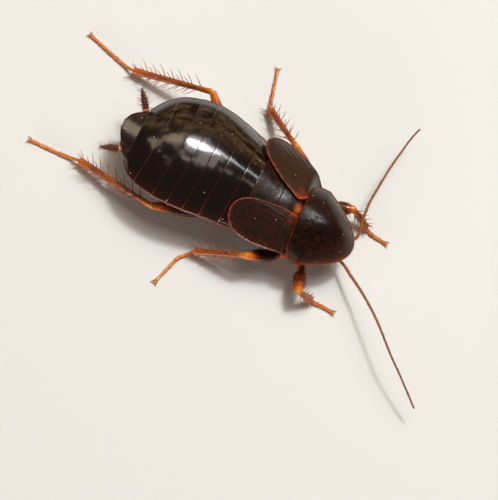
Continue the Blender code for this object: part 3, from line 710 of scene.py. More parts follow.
BACK = Cuticle("polished_black_horn", Slot.BLACK,
               ((0.0, (0.004, 0.0016, 0.0012)), (0.35, (0.016, 0.004, 0.002)), (0.7, (0.1, 0.02, 0.006)),
                (1.0, (0.3, 0.075, 0.022))),
               roughness=(0.1, 0.17), mottle=0.06, pit_strength=0.1, wrinkle_strength=0.2,
               wrinkle_scale=1100.0, coat=0.8, dust_and_glints=0.6, grain=(3.0, 0.7, 0.7), matt=1.1)
SKIN = Cuticle("dark_trunk_skin", Slot.BLACK,
               ((0.0, (0.012, 0.006, 0.004)), (0.5, (0.06, 0.016, 0.007)), (1.0, (0.24, 0.08, 0.03))),
               roughness=(0.4, 0.6), mottle=0.15, wrinkle_strength=0.6, wrinkle_scale=2600.0, coat=0.0)
SHIELD = Cuticle("speckled_shield_horn", Slot.SHIELD,
                 ((0.0, (0.006, 0.0024, 0.0016)), (0.3, (0.034, 0.009, 0.004)), (0.62, (0.16, 0.032, 0.008)),
                  (1.0, (0.4, 0.11, 0.03))),
                 roughness=(0.2, 0.36), mottle=0.28, mottle_scale=4600.0, pit_scale=11000.0,
                 pit_strength=0.7, wrinkle_strength=0.45, coat=0.0, coat_roughness=0.2, specular=0.2,
                 polish=0.2, dust_and_glints=0.5)
NOTUM = Cuticle("wrinkled_notum_horn", Slot.SHIELD,
                ((0.0, (0.006, 0.0024, 0.0016)), (0.3, (0.03, 0.007, 0.003)), (0.62, (0.2, 0.04, 0.008)),
                 (1.0, (0.5, 0.14, 0.03))),
                roughness=(0.14, 0.28), mottle=0.24, mottle_scale=3000.0, pit_scale=9000.0,
                pit_strength=0.4, wrinkle_scale=2200.0, wrinkle_strength=0.4, coat=0.0, specular=0.17,
                polish=0.1, dust_and_glints=0.4)
WING = Cuticle("leathery_wing_horn", Slot.WING,
               ((0.0, (0.008, 0.0045, 0.003)), (0.35, (0.028, 0.0085, 0.005)), (0.7, (0.17, 0.026, 0.008)),
                (1.0, (0.42, 0.08, 0.024))),
               roughness=(0.14, 0.3), mottle=0.34, mottle_scale=3600.0, pit_scale=11000.0,
               pit_strength=0.6, wrinkle_scale=2200.0, wrinkle_strength=0.35, coat=0.2,
               coat_roughness=0.12, specular=0.4, polish=0.15, dust_and_glints=0.5)
FACE = Cuticle("dark_face_horn", Slot.SHIELD,
               ((0.0, (0.018, 0.007, 0.004)), (0.35, (0.09, 0.02, 0.006)), (0.7, (0.34, 0.1, 0.025)),
                (1.0, (0.68, 0.36, 0.14))),
               roughness=(0.28, 0.42), mottle=0.18, mottle_scale=4000.0, pit_strength=0.4, coat=0.12,
               coat_roughness=0.2, specular=0.38)
LEG = Cuticle("amber_leg_horn", Slot.AMBER,
              ((0.0, (0.06, 0.011, 0.002)), (0.35, (0.27, 0.042, 0.003)), (0.7, (0.6, 0.15, 0.006)),
               (1.0, (0.74, 0.31, 0.03))),
              roughness=(0.16, 0.3), mottle=0.12, mottle_scale=3500.0, coat=0.4, coat_roughness=0.1,
              glow=0.22)
THORN = Cuticle("dark_spine_horn", Slot.AMBER,
                ((0.0, (0.42, 0.12, 0.018)), (0.5, (0.32, 0.075, 0.012)), (1.0, (0.12, 0.025, 0.006))),
                roughness=(0.2, 0.3), mottle=0.05, coat=0.4, glow=0.1)
FEELER = Cuticle("ringed_feeler_horn", Slot.FEELER,
                 ((0.0, (0.08, 0.022, 0.008)), (0.5, (0.27, 0.085, 0.025)), (1.0, (0.5, 0.2, 0.065))),
                 roughness=(0.3, 0.45), mottle=0.1, mottle_scale=6000.0, coat=0.2, glow=0.15)
EYE = Cuticle("faceted_eye", Slot.EYE, ((0.0, (0.006, 0.005, 0.005)), (1.0, (0.03, 0.016, 0.012))),
              roughness=(0.24, 0.32), mottle=0.1, pit_scale=30000.0, pit_strength=0.45,
              wrinkle_strength=0.0, coat=0.35, coat_roughness=0.12, facets=True)
HAIR = Cuticle("fine_bristle", Slot.AMBER, ((0.0, (0.16, 0.045, 0.012)), (1.0, (0.46, 0.2, 0.08))),
               roughness=(0.3, 0.4), mottle=0.05, coat=0.0)


def make_piece(name: str, patches: Sequence[Patch], finish: Cuticle, replaces: Sequence[str] = (),
               unwrap: bool = False) -> bpy.types.Object:
    """Writes patches as one mesh object with smooth faces that point outwards, and rides it.

    Args:
        name: the piece's name.
        patches: its surfaces.
        finish: its finish.
        replaces: names of the CAD nodes that it stands for.
        unwrap: writes the patches' spread as the bake map.

    Returns:
        The object.
    """
    whole = join(patches)
    mesh = bpy.data.meshes.new(name)
    quads, tris = len(whole.quads), len(whole.tris)
    mesh.vertices.add(len(whole.points))
    mesh.vertices.foreach_set("co", to_world(whole.points).astype(np.float32).ravel())
    corners = np.concatenate([whole.quads.ravel(), whole.tris.ravel()]).astype(np.int32)
    mesh.loops.add(len(corners))
    mesh.loops.foreach_set("vertex_index", corners)
    sizes = np.concatenate([np.full(quads, 4), np.full(tris, 3)])
    mesh.polygons.add(quads + tris)
    mesh.polygons.foreach_set("loop_start", (np.cumsum(sizes) - sizes).astype(np.int32))
    mesh.update(calc_edges=True)
    mesh.validate()
    tone = mesh.attributes.new("tone", "FLOAT", "POINT")
    tone.data.foreach_set("value", np.clip(whole.tone, 0.0, 1.0).astype(np.float32))
    if unwrap:
        layer = mesh.uv_layers.new(name=UNWRAP_NAME)
        index = np.zeros(len(mesh.loops), np.int32)
        mesh.loops.foreach_get("vertex_index", index)
        layer.data.foreach_set("uv", whole.spread[index].astype(np.float32).ravel())
    shape = bmesh.new()
    shape.from_mesh(mesh)
    bmesh.ops.recalc_face_normals(shape, faces=shape.faces)
    shape.to_mesh(mesh)
    shape.free()
    mesh.shade_smooth()
    mesh.materials.append(finish.material())
    piece = bpy.data.objects.new(name, mesh)
    bpy.context.scene.collection.objects.link(piece)
    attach(piece, "root")
    if replaces:
        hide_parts(*replaces)
    LOG.info("%s: %d faces", name, len(mesh.polygons))
    return piece


@dataclass
class Trunk:
    """Thorax and abdomen: one skin below, and the back plates that overlap like tiles on it."""

    mid_places: tuple[float, ...] = (-0.5, 1.0, 2.5, 4.5, 7.0, 9.0, 10.8, 14.0)
    mid_lefts: tuple[float, ...] = (-0.18, -0.14, 0.04, 0.2, 0.24, 0.12, 0.0, 0.0)
    flank_angle: float = 64.0
    # forward, half width, side height, top, bottom, squareness of the underside
    sections: tuple[tuple[float, ...], ...] = (
        (-0.02, 0.2, 1.86, 1.96, 1.78, 2.0), (0.1, 0.5, 1.88, 2.04, 1.74, 2.0),
        (0.42, 0.95, 1.92, 2.2, 1.66, 2.0), (0.9, 1.5, 2.0, 2.42, 1.6, 1.7),
        (1.5, 2.28, 2.1, 2.78, 1.45, 1.5), (2.3, 2.85, 2.3, 3.12, 1.22, 1.5),
        (3.3, 3.2, 2.42, 3.4, 1.02, 1.5), (4.4, 3.3, 2.48, 3.54, 0.95, 1.5),
        (5.4, 3.2, 2.42, 3.56, 1.1, 1.5), (6.2, 3.04, 2.32, 3.5, 1.3, 1.6),
        (7.0, 2.88, 2.15, 3.38, 1.35, 2.0), (8.0, 2.64, 1.98, 3.24, 1.35, 2.6),
        (9.0, 2.4, 1.88, 3.12, 1.35, 3.0), (10.0, 2.1, 1.85, 3.05, 1.35, 3.0),
        (10.75, 1.75, 1.78, 2.85, 1.35, 3.0), (11.3, 1.62, 1.7, 2.5, 1.35, 3.0),
        (11.9, 1.45, 1.65, 2.24, 1.35, 2.6), (12.3, 1.0, 1.6, 2.0, 1.3, 2.2),
    )
    margins: tuple[float, ...] = (8.05, 7.0, 5.95, 5.05, 4.2, 3.35, 2.2, 1.02)
    skin_reach: tuple[float, float] = (0.36, 12.3)
    skin_rows: int = 256
    skin_columns: int = 96
    skin_drop: float = 0.1
    skin_inset: float = 0.05
    belly_step: float = 0.05
    plate_raise: float = 0.13
    plate_bow: float = 0.3
    last_bow: float = 0.06
    plate_tuck: float = 0.32
    plate_thickness: float = 0.075
    bead_raise: float = 0.03
    tail_front: float = 1.3
    tail_length: float = 1.27
    # forward, half width, top
    tail_sections: tuple[Place, ...] = (
        (0.03, 0.25, 2.26), (0.06, 0.32, 2.265), (0.14, 0.55, 2.28), (0.3, 0.83, 2.303),
        (0.6, 1.16, 2.35), (0.95, 1.4, 2.4), (1.3, 1.6, 2.45),
    )
    thin_plate: float = 0.07
    notum_reach: float = 84.0
    notum_bow: float = 0.35

    def midline(self, forward: Array) -> Array:
        """How far the bent midline lies to the left, a smooth curve of the place."""
        return smooth_curve(forward, self.mid_places, self.mid_lefts)

    def sizes(self, forward: Array) -> Array:
        """Half width, side height, top, bottom and squareness, smooth curves of the place."""
        table = np.array(self.sections)
        return smooth_curve(forward, table[:, 0], table[:, 1:])

    def dome(self, aside: Array) -> Array:
        """Share of the back's rise at a share of the half width, ending in a sharp side edge.

        Args:
            aside: from 0 on the midline to 1 at the side.

        Returns:
            (sqrt(1 - (aside sin f)^2) - cos f) / (1 - cos f) for the flank angle f.
        """
        flank = math.radians(self.flank_angle)
        arch = np.sqrt(1 - (np.clip(aside, -1.0, 1.0) * math.sin(flank)) ** 2)
        return (arch - math.cos(flank)) / (1 - math.cos(flank))

    def skin(self) -> Patch:
        """The skin: the back's dome above and a lower superellipse at each place.

        Returns:
            Rings of left = w cos, height = side + (top - side) dome above, and below
            side - (side - bottom)(1 - |cos|^q)^(1/q), with a step at each belly plate.
        """
        forward = np.linspace(*self.skin_reach, self.skin_rows)
        half_width, side, top, bottom, square = self.sizes(forward).T
        edges = np.sort(self.margins)
        found = np.searchsorted(edges, forward, side="right")
        behind = edges[np.clip(found - 1, 0, len(edges) - 1)]
        ahead = edges[np.clip(found, 0, len(edges) - 1)]
        step = np.where(ahead > behind, (ahead - forward) / np.maximum(ahead - behind, 0.1), 0.0)
        step = np.clip(step, 0.0, 1.0) * ease(0.9, 1.2, forward)
        turn = full_turn(self.skin_columns)
        cosine, sine = np.cos(turn), np.sin(turn)
        power = square[:, None]
        share = (1 - np.abs(cosine) ** power) ** (1 / power)
        upper = side[:, None] + (top - side - self.skin_drop)[:, None] * self.dome(cosine)
        lower = side[:, None] - (side - bottom + self.belly_step * step)[:, None] * share
        grid = np.zeros((len(forward), len(turn), 3))
        grid[..., 0] = forward[:, None]
        grid[..., 1] = self.midline(forward)[:, None] + (half_width - self.skin_inset)[:, None] * cosine
        grid[..., 2] = np.where(sine >= 0, upper, lower)
        rows, columns = grid.shape[:2]
        points = np.vstack([grid.reshape(-1, 3), grid[0].mean(axis=0), grid[-1].mean(axis=0)])
        tone = 0.15 + 0.25 * ease(0.6, 1.0, step)[:, None] + 0.25 * ease(7.5, 9.0, forward)[:, None]
        tone = tone + 0.1 * (sine < 0)
        return Patch(points, grid_quads(rows, columns, True), pole_caps(rows, columns, turned=True),
                     np.concatenate([tone.ravel(), [0.3, 0.3]]))

    def back_plate(self, front: float, margin: float, bow: float, bow_before: float) -> Patch:
        """One back plate, tucked under the plate ahead and raised towards its hind margin.

        Args:
            front: the hind margin of the plate ahead.
            margin: its own hind margin on the midline.
            bow: how far its hind corners reach back.
            bow_before: the same of the plate ahead.

        Returns:
            The plate over left = (w + 0.2 lift) sin, height = side + (top + lift - side) dome,
            the lift growing from 0 to the plate's raise, with a fine bead along both sides.
        """
        start = front + self.plate_tuck

        def surface(u: Array, v: Array) -> Array:
            """Survey points at shares across and back; v beyond the plate ahead is tucked lower.

            Args:
                u: shares across.
                v: shares back.

            Returns:
                The points.
            """
            aside = np.sin((2 * u - 1) * math.pi / 2)
            forward = start + (margin - start) * v
            out = (front - forward) / (front - margin)
            lift = self.plate_raise * np.where(out > 0, out, 0.6 * out)
            half_width, side, top, _, _ = np.moveaxis(self.sizes(forward), -1, 0)
            height = side + (top + lift - side) * self.dome(aside)
            bend = bow_before + (bow - bow_before) * np.clip(out, 0.0, 1.0)
            bead = self.bead_raise * bell(np.abs(2 * u - 1), 0.88, 0.02)
            left = self.midline(forward) + (half_width + 0.2 * lift + bead) * aside
            return np.stack([forward - bend * aside**2, left, height + bead * 0.6], axis=-1)

        def tone(u: Array, v: Array) -> Array:
            """Black, with a redder side border and hind margin.

            Args:
                u: shares across.
                v: shares back.

            Returns:
                The tones.
            """
            from_side = np.minimum(u, 1 - u)
            rear = ease(0.955, 0.995, v)
            return 0.05 + 0.3 * ease(0.22, 0.08, from_side) + 0.5 * ease(0.1, 0.03, from_side) + 0.5 * rear

        rows = edged_samples(26, 0.035, 6)
        columns = edged_samples(92, 0.012, 6)
        return plate(surface, rows, columns, self.plate_thickness, (0.012, 0.035), tone)

    def back_plates(self) -> Patch:
        """The seven back plates, each tucked under the one ahead.

        Returns:
            One patch of the seven.
        """
        bows = [self.plate_bow * max(0.0, 1 - margin / self.margins[0]) for margin in self.margins]
        bows[-1] = self.last_bow
        return join([self.back_plate(self.margins[k], self.margins[k + 1], bows[k + 1], bows[k])
                     for k in range(len(self.margins) - 1)])

    def tail_plate(self, drop: float, widen: float) -> Patch:
        """The last plate, with a rounded hind edge; a second one lower down closes the belly.

        Args:
            drop: how far it lies below the upper plate.
            widen: factor on its width.

        Returns:
            The plate over left = w(v) s and height = top - 0.07 (w s)^2 - drop (1 - 0.74 s^2) for s
            from -1 to 1, the drop closing to 0.13 of itself at the hind edge.
        """
        table = np.array(self.tail_sections)

        def surface(u: Array, v: Array) -> Array:
            """Survey points at shares across and back.

            Args:
                u: shares across.
                v: shares back.

            Returns:
                The points.
            """
            aside = 2 * u - 1
            forward = self.tail_front - self.tail_length * np.sin(v * math.pi / 2)
            half_width, top = np.moveaxis(smooth_curve(forward, table[:, 0], table[:, 1:]), -1, 0)
            under = drop * (1 - 0.87 * ease(0.8, 0.08, forward)) * (1 - 0.74 * aside**2)
            height = top - under - 0.07 * (half_width * aside) ** 2
            middle = self.midline(forward) + 0.2 * ease(1.0, -0.06, forward)
            return np.stack([forward, middle + widen * half_width * aside, height], axis=-1)

        def tone(u: Array, v: Array) -> Array:
            """Black, with a redder hind edge and sides."""
            return 0.1 + 0.6 * ease(0.85, 1.0, v) + 0.4 * ease(0.08, 0.0, np.minimum(u, 1 - u))

        return plate(surface, edged_samples(24, 0.04, 5), edged_samples(40, 0.03, 5), self.thin_plate,
                     (0.03, 0.04), tone)

    def notum_plate(self, front: float, margin: float, lift: float) -> Patch:
        """One of the two plates under the fore wings, its hind edge bowed.

        Args:
            front: its front edge.
            margin: its hind edge.
            lift: how far it stands above the skin.

        Returns:
            The plate over left = w sin and height = side + (top + lift - side) cos.
        """
        reach = math.radians(self.notum_reach)

        def surface(u: Array, v: Array) -> Array:
            """Survey points at shares across and back.

            Args:
                u: shares across.
                v: shares back.

            Returns:
                The points.
            """
            angle = (2 * u - 1) * reach
            forward = front + (margin - front) * v
            half_width, side, top, _, _ = np.moveaxis(self.sizes(forward), -1, 0)
            height = side + (top + lift * v - side) * np.cos(angle)
            place = forward + self.notum_bow * np.sin(angle) ** 2 * v
            return np.stack([place, self.midline(forward) + half_width * np.sin(angle), height], axis=-1)

        def tone(u: Array, v: Array) -> Array:
            """Dark, with an amber patch on the midline just behind the shield."""
            middle = bell(u, 0.485, 0.07) * ease(0.62, 0.42, v) * (front > 10)
            return 0.1 + 0.75 * middle + 0.3 * ease(0.95, 1.0, v)

        return plate(surface, edged_samples(20, 0.04, 5), edged_samples(60, 0.02, 5), self.thin_plate,
                     (0.02, 0.04), tone)

    def build(self) -> None:
        """Makes the skin, the wing-bearing plates, the back plates and the tail plates."""
        make_piece("trunk_skin", [self.skin()], SKIN, ("prothorax", "mesothorax", "metathorax", "abdomen"))
        make_piece("back_plates", [self.back_plates()], BACK, ("abdomen",))
        tail = [self.tail_plate(0.0, 1.0), self.tail_plate(0.42, 0.9)]
        make_piece("tail_plates", tail, BACK, ("tail_plate",))
        notum = [self.notum_plate(11.2, 9.25, 0.06), self.notum_plate(9.6, 7.75, 0.04)]
        make_piece("notum_plates", notum, NOTUM)


@dataclass
class Shield:
    """The pronotum: a domed shield over the head with a fine raised rim."""

    centre: float = 11.6
    left: float = -0.18
    half_width: float = 2.42
    front_reach: float = 2.5
    rear_reach: float = 0.95
    rear_squareness: float = 3.5
    apex: float = 3.35
    front_height: float = 1.75
    side_height: float = 1.95
    rear_height: float = 3.3
    rim_raise: float = 0.05
    rim_place: float = 0.968
    rim_width: float = 0.014
    sides: int = 176

    def outline(self, turn: Array) -> tuple[Array, Array]:
        """Forward and left reach: a parabola in front, a superellipse behind.

        Args:
            turn: turns round the shield's middle.

        Returns:
            Both reaches, one of each a turn.
        """
        ahead, aside = np.cos(turn), np.sin(turn)
        power = 2 / self.rear_squareness
        forward = np.where(ahead >= 0, self.front_reach * ahead**2, -self.rear_reach * np.abs(ahead) ** power)
        left = self.half_width * np.where(ahead >= 0, aside, np.sign(aside) * np.abs(aside) ** power)
        return forward, left

    def edge_height(self, forward: Array, left: Array) -> Array:
        """Edge height: front + (side - front) a^2 ahead, side + (rear - side)(1 - a^2.4) behind.

        Args:
            forward: forward reach of the edge.
            left: left reach of the edge.

        Returns:
            Heights above the floor.
        """
        aside = np.minimum(np.abs(left) / self.half_width, 1.0)
        front = self.front_height + (self.side_height - self.front_height) * aside**2
        rear = self.side_height + (self.rear_height - self.side_height) * (1 - aside**2.4)
        return np.where(forward >= 0, front, rear)

    def surface(self, share: Array, turn: Array) -> Array:
        """Dome: edge + (apex - edge)(1 - share^2.2), with the rim and two shallow hollows.

        Args:
            share: share of the way out.
            turn: turn from straight ahead.

        Returns:
            Survey points.
        """
        reach, left = self.outline(turn)
        edge = self.edge_height(reach, left)
        height = edge + (self.apex - edge) * (1 - share**2.2)
        rim = self.rim_raise * bell(share, self.rim_place, self.rim_width)
        forward, aside = reach * share, left * share
        hollow = 0.025 * np.exp(-(((np.abs(aside) - 0.75) / 0.35) ** 2 + ((forward - 0.1) / 0.6) ** 2))
        groove = 0.012 * np.exp(-((aside / 0.06) ** 2 + ((forward + 0.1) / 0.5) ** 2))
        return np.stack([self.centre + forward, self.left + aside, height + rim - hollow - groove], axis=-1)

    def cover(self, forward: Array, left: Array) -> tuple[Array, Array]:
        """The shield's share and height over places behind its middle.

        Args:
            forward: survey places.
            left: survey places.

        Returns:
            share^q = |back / rear reach|^q + |aside / half width|^q, and the dome's height there.
        """
        power = self.rear_squareness
        back = np.maximum(self.centre - forward, 0.0) / self.rear_reach
        aside = np.abs(left - self.left) / self.half_width
        share = np.maximum((back**power + aside**power) ** (1 / power), 1e-6)
        rear = 1 - np.minimum(aside / share, 1.0) ** 2.4
        edge = self.side_height + (self.rear_height - self.side_height) * rear
        return share, edge + (self.apex - edge) * (1 - np.minimum(share, 1.0) ** 2.2)

    def tone(self, share: Array, turn: Array) -> Array:
        """Dark disc, brown band inside the edge, widest at the sides.

        Args:
            share: share of the way to the edge.
            turn: turns round the middle.

        Returns:
            The tones.
        """
        width = 0.1 + 0.07 * np.abs(np.sin(turn))
        ahead = 0.16 * ease(0.3, 0.95, share) * np.clip(np.cos(turn), 0.0, 1.0)
        return 0.08 + ahead + 0.4 * ease(1 - width, 1.0, share) + 0.2 * ease(0.975, 1.0, share)

    def build(self) -> None:
        """Makes the shield."""
        shares = np.concatenate([np.linspace(0.03, 0.92, 44), np.linspace(0.93, 0.985, 12),
                                 1 - 0.012 * (1 - np.sin(np.linspace(0.1, math.pi / 2, 6)))])
        patch = disc(self.surface, shares, self.sides, lambda share: 0.16 - 0.05 * share, 0.012, self.tone)
        make_piece("shield", [patch], SHIELD, ("pronotum",))


@dataclass
class ForeWing:
    """One short leathery fore wing with fanned veins, lying over the notum and the first plates."""

    trunk: Trunk
    shield: Shield
    side: int
    base_left: float
    splay: float
    length: float = 3.2
    half_width: float = 1.12
    base_forward: float = 10.36
    root_tuck: float = 0.62
    clearance: float = 0.2
    fall: float = 0.105
    middle: float = 0.45
    under_shield: float = 0.17
    veins: tuple[float, ...] = (-0.78, -0.5, -0.24, 0.0, 0.24, 0.48, 0.72)
    vein_raise: float = 0.005
    rim_raise: float = 0.025
    rim_place: float = 0.95
    rim_width: float = 0.014
    sides: int = 220

    def outline(self, turn: Array) -> tuple[Array, Array]:
        """Share along t and reach: W sqrt(1 - t^5)(0.9 + 0.1 min(t / 0.3, 1)), round at the base.

        Args:
            turn: turns round the wing's middle.

        Returns:
            Both, one of each a turn.
        """
        along = 0.5 - 0.5 * np.cos(turn)
        round_base = np.sqrt(1 - np.clip(1 - along / 0.08, 0.0, 1.0) ** 2)
        width = np.sqrt(np.maximum(1 - along**5, 0.0)) * (0.9 + 0.1 * np.minimum(along / 0.3, 1.0))
        return along, np.sign(np.sin(turn)) * width * round_base * self.half_width

    def surface(self, share: Array, turn: Array) -> Array:
        """The wing over the back: height = back's top + clearance - fall x left^2 + veins.

        Args:
            share: share of the way out from the wing's middle.
            turn: turn round its outline.

        Returns:
            Survey points.
        """
        along, across = self.outline(turn)
        along = self.middle + (along - self.middle) * share
        across = across * share
        span = self.length + self.root_tuck
        splay = math.radians(self.splay)
        way = np.array([-math.cos(splay), math.sin(splay) * self.side])
        out = np.array([math.sin(splay), math.cos(splay) * self.side])
        start = np.array([self.base_forward, self.base_left]) - way * self.root_tuck
        spot = start + (along * span)[..., None] * way + across[..., None] * out
        forward, left = spot[..., 0], spot[..., 1] - self.trunk.midline(spot[..., 0])
        top = self.trunk.sizes(np.minimum(forward, 10.2))[..., 2]
        tuck = 0.22 * ease(10.2, 11.0, forward)
        height = top + self.clearance - self.fall * left**2 - tuck
        covered, roof = self.shield.cover(forward, spot[..., 1])
        height = height - ease(1.45, 1.0, covered) * np.maximum(height - roof + self.under_shield, 0.0)
        local = across / self.half_width
        fanned = local / (0.55 + 0.45 * ease(-0.1, 0.6, along))
        ridges = sum(bell(fanned, place, 0.045) for place in self.veins)
        ridges = ridges * (1 - ease(0.75, 1.0, along)) * ease(1.0, 0.85, share)
        rim = self.rim_raise * bell(share, self.rim_place, self.rim_width)
        height = height + self.vein_raise * ridges + rim
        return np.stack([forward, spot[..., 1], height], axis=-1)

    def tone(self, share: Array, turn: Array) -> Array:
        """Dark middle, veins a little paler, red-brown border, widest on the outer side.

        Args:
            share: share of the way to the edge.
            turn: turns round the middle.

        Returns:
            The tones.
        """
        outer = np.clip(np.sin(turn), 0.0, 1.0)
        width = 0.14 + 0.26 * outer
        along, across = self.outline(turn)
        local = across * share / self.half_width
        veins = sum(bell(local, place, 0.03) for place in self.veins)
        base = ease(0.35, 0.0, self.middle + (along - self.middle) * share) * ease(0.1, -0.5, local)
        return (0.2 + 0.24 * ease(1 - width, 0.98, share) + 0.42 * ease(0.95, 1.0, share) + 0.05 * veins
                + 0.4 * base)

    def build(self) -> None:
        """Makes the wing."""
        shares = np.concatenate([np.linspace(0.02, 0.96, 56),
                                 1 - 0.03 * (1 - np.sin(np.linspace(0.1, math.pi / 2, 6)))])
        patch = disc(self.surface, shares, self.sides, lambda share: 0.1 - 0.03 * share, 0.03, self.tone)
        label = "left" if self.side > 0 else "right"
        make_piece(f"fore_wing_{label}", [patch], WING, (f"tegmen_{label}",))


@dataclass
class Head:
    """The head under the shield: capsule, eyes, pale eye spots, lips, jaws and mouth feelers."""

    crown: Place = (13.0, 0.0, 1.88)
    mouth: Place = (12.3, 0.0, 0.3)
    # share of the way down, half width, half depth
    sections: tuple[Place, ...] = (
        (-0.06, 0.02, 0.02), (-0.04, 0.28, 0.14), (0.0, 0.5, 0.24), (0.08, 0.78, 0.38), (0.2, 0.98, 0.47),
        (0.38, 1.02, 0.52), (0.56, 0.93, 0.52), (0.72, 0.72, 0.46), (0.86, 0.52, 0.37), (0.97, 0.36, 0.24),
        (1.0, 0.1, 0.06),
    )
    eye_along: float = 0.34
    eye_side: float = 0.74
    eye_down: float = 0.56
    eye_out: float = 0.46
    eye_rise: float = 0.34
    eye_notch: float = 0.28
    eye_wall: float = 0.06
    socket_along: float = 0.52
    socket_spread: float = 0.42
    # share down the face, distance out
    lip_places: tuple[tuple[float, float], ...] = (
        (0.72, 0.3), (0.78, 0.4), (0.86, 0.42), (0.93, 0.38), (0.985, 0.33), (1.03, 0.29), (1.06, 0.25),
    )
    lip_widths: tuple[float, ...] = (0.1, 0.4, 0.38, 0.33, 0.34, 0.26, 0.05)
    lip_depths: tuple[float, ...] = (0.04, 0.12, 0.13, 0.1, 0.12, 0.08, 0.02)
    lip_tones: tuple[float, ...] = (0.4, 0.7, 0.95, 0.8, 0.55, 0.4, 0.4)
    # share down the face, left, out
    jaw_places: tuple[Place, ...] = ((0.78, 0.5, 0.12), (0.9, 0.46, 0.18), (1.0, 0.3, 0.2), (1.06, 0.12, 0.2))
    outer_palp: tuple[Place, ...] = (
        (0.86, 0.36, 0.02), (0.88, 0.72, 0.12), (0.9, 0.86, 0.5), (0.93, 0.84, 0.86), (0.97, 0.76, 1.18),
    )
    inner_palp: tuple[Place, ...] = (
        (0.95, 0.16, -0.02), (1.0, 0.26, 0.06), (1.03, 0.3, 0.3), (1.05, 0.26, 0.5),
    )

    def __post_init__(self) -> None:
        """Works out the head's own axes: down the face, out of the face, and to the left."""
        crown, mouth = np.array(self.crown), np.array(self.mouth)
        self.span = float(np.linalg.norm(mouth - crown))
        self.down = unit(mouth - crown)
        self.out = np.array([-self.down[2], 0.0, self.down[0]])

    def place(self, along: float, left: float, out: float) -> Array:
        """Survey point at a share down the face, a distance left and a distance out."""
        return np.array(self.crown) + self.down * self.span * along + LEFT * left + self.out * out

    def capsule(self) -> Patch:
        """The capsule: ovals of the sections' sizes, flatter in front, with a seam down the brow.

        Returns:
            The closed patch.
        """
        table = np.array(self.sections)
        along = np.concatenate([np.linspace(-0.06, 0.0, 8), np.linspace(0.01, 1.0, 60)])
        width, depth = smooth_curve(along, table[:, 0], table[:, 1:]).T
        path = np.array(self.crown) + np.outer(along * self.span, self.down)
        patch = tube(path, width, depth, sides=64, reference=self.out, squareness=2.3)
        offset = patch.points - np.array(self.crown)
        left, down, out = offset[:, 1], offset @ self.down / self.span, offset @ self.out
        front = ease(0.0, 0.3, out)
        seam = bell(np.abs(left), 0.9 * np.clip(0.34 - down, 0, 1), 0.03) * ease(0.36, 0.3, down)
        dents = np.exp(-(((np.abs(left) - self.socket_spread) / 0.2) ** 2
                         + ((down - self.socket_along) / 0.09) ** 2))
        brow_line = bell(down - 0.75, 0.1 * left**2, 0.012)
        depth_cut = front * (0.02 * seam + 0.09 * dents + 0.025 * brow_line)
        points = patch.points - depth_cut[:, None] * self.out
        lower = ease(0.7, 0.85, down)
        cheek = ease(0.55, 0.9, np.abs(left)) * ease(0.45, 0.65, down)
        return Patch(points, patch.quads, patch.tris, 0.24 + 0.3 * lower + 0.25 * cheek + 0.15 * seam * front)

    def eye(self, side: int) -> Patch:
        """One compound eye: a bean-shaped dome on the upper side of the head.

        Args:
            side: 1 for left, -1 for right.

        Returns:
            A dome of height rise sqrt(1 - share^2) - 0.1 share^2 over a bean outline.
        """
        def surface(share: Array, turn: Array) -> Array:
            """Survey points at a share of the way out and a turn.

            Args:
                share: shares of the way to the rim.
                turn: turns round the middle.

            Returns:
                The points.
            """
            notch = 1 - self.eye_notch * bell(turn, 0.3 * math.pi, 0.4)
            down = self.eye_down * np.cos(turn) * notch * share
            out = self.eye_out * np.sin(turn) * notch * share
            rise = self.eye_rise * np.sqrt(np.maximum(1 - share**2, 0.0)) - 0.1 * share**2
            middle = self.place(self.eye_along, self.eye_side * side, 0.08)
            return (middle + down[..., None] * self.down + out[..., None] * self.out
                    + rise[..., None] * LEFT * side)

        shares = np.sin(np.linspace(0.06, math.pi / 2, 20))
        return disc(surface, shares, 48, lambda share: np.full_like(share, self.eye_wall), 0.02,
                    lambda share, turn: 0.2 + 0.4 * ease(0.8, 1.0, share))

    def mouth_parts(self) -> list[Patch]:
        """Face plate, upper lip, jaws, and the jointed mouth feelers on both sides.

        Returns:
            One patch each.
        """
        lip = np.array([self.place(along, 0.0, out) for along, out in self.lip_places])
        patches = [tube(lip, self.lip_widths, self.lip_depths, sides=28, reference=self.out,
                        tone=self.lip_tones, squareness=2.6)]
        rows = 16
        for side in (1, -1):
            jaw_stations = [self.place(along, left * side, out) for along, left, out in self.jaw_places]
            jaw = smooth_path(jaw_stations, rows)
            size = np.interp(np.linspace(0, 1, rows), (0, 0.4, 0.8, 1), (0.14, 0.17, 0.1, 0.03))
            patches.append(tube(jaw, size, size * 0.8, sides=14, reference=self.out,
                                tone=np.linspace(0.5, 0.1, rows)))
            patches.append(self.palp(side, self.outer_palp, (0.18, 0.24, 0.24, 0.34), 0.085))
            patches.append(self.palp(side, self.inner_palp, (0.3, 0.34, 0.36), 0.06))
        return patches

    def palp(self, side: int, stations: Sequence[Place], shares: Sequence[float], radius: float) -> Patch:
        """A jointed mouth feeler: each joint swells towards its end and is pinched at its start.

        Args:
            side: 1 for left, -1 for right.
            stations: share down the face, left and out of each bend.
            shares: length of each joint as a share of the whole.
            radius: largest radius.

        Returns:
            A tube whose radius is radius x (0.5 + 0.5 sin(pi t^1.4)^0.6), t the share of the joint.
        """
        rows, lowest = 72, 0.16
        places = [self.place(along, side * left, out) for along, left, out in stations]
        path = smooth_path([(p[0], p[1], max(p[2], lowest)) for p in places], rows)
        along = np.linspace(0.0, 1.0, rows)
        ends = np.concatenate([[0.0], np.cumsum(shares) / np.sum(shares)])
        index = np.clip(np.searchsorted(ends, along, side="right") - 1, 0, len(shares) - 1)
        local = (along - ends[index]) / (ends[index + 1] - ends[index])
        size = radius * (0.5 + 0.5 * np.sin(math.pi * np.clip(local**1.4, 0, 1)) ** 0.6)
        return tube(path, size, size, sides=12, tone=0.45 + 0.35 * local)

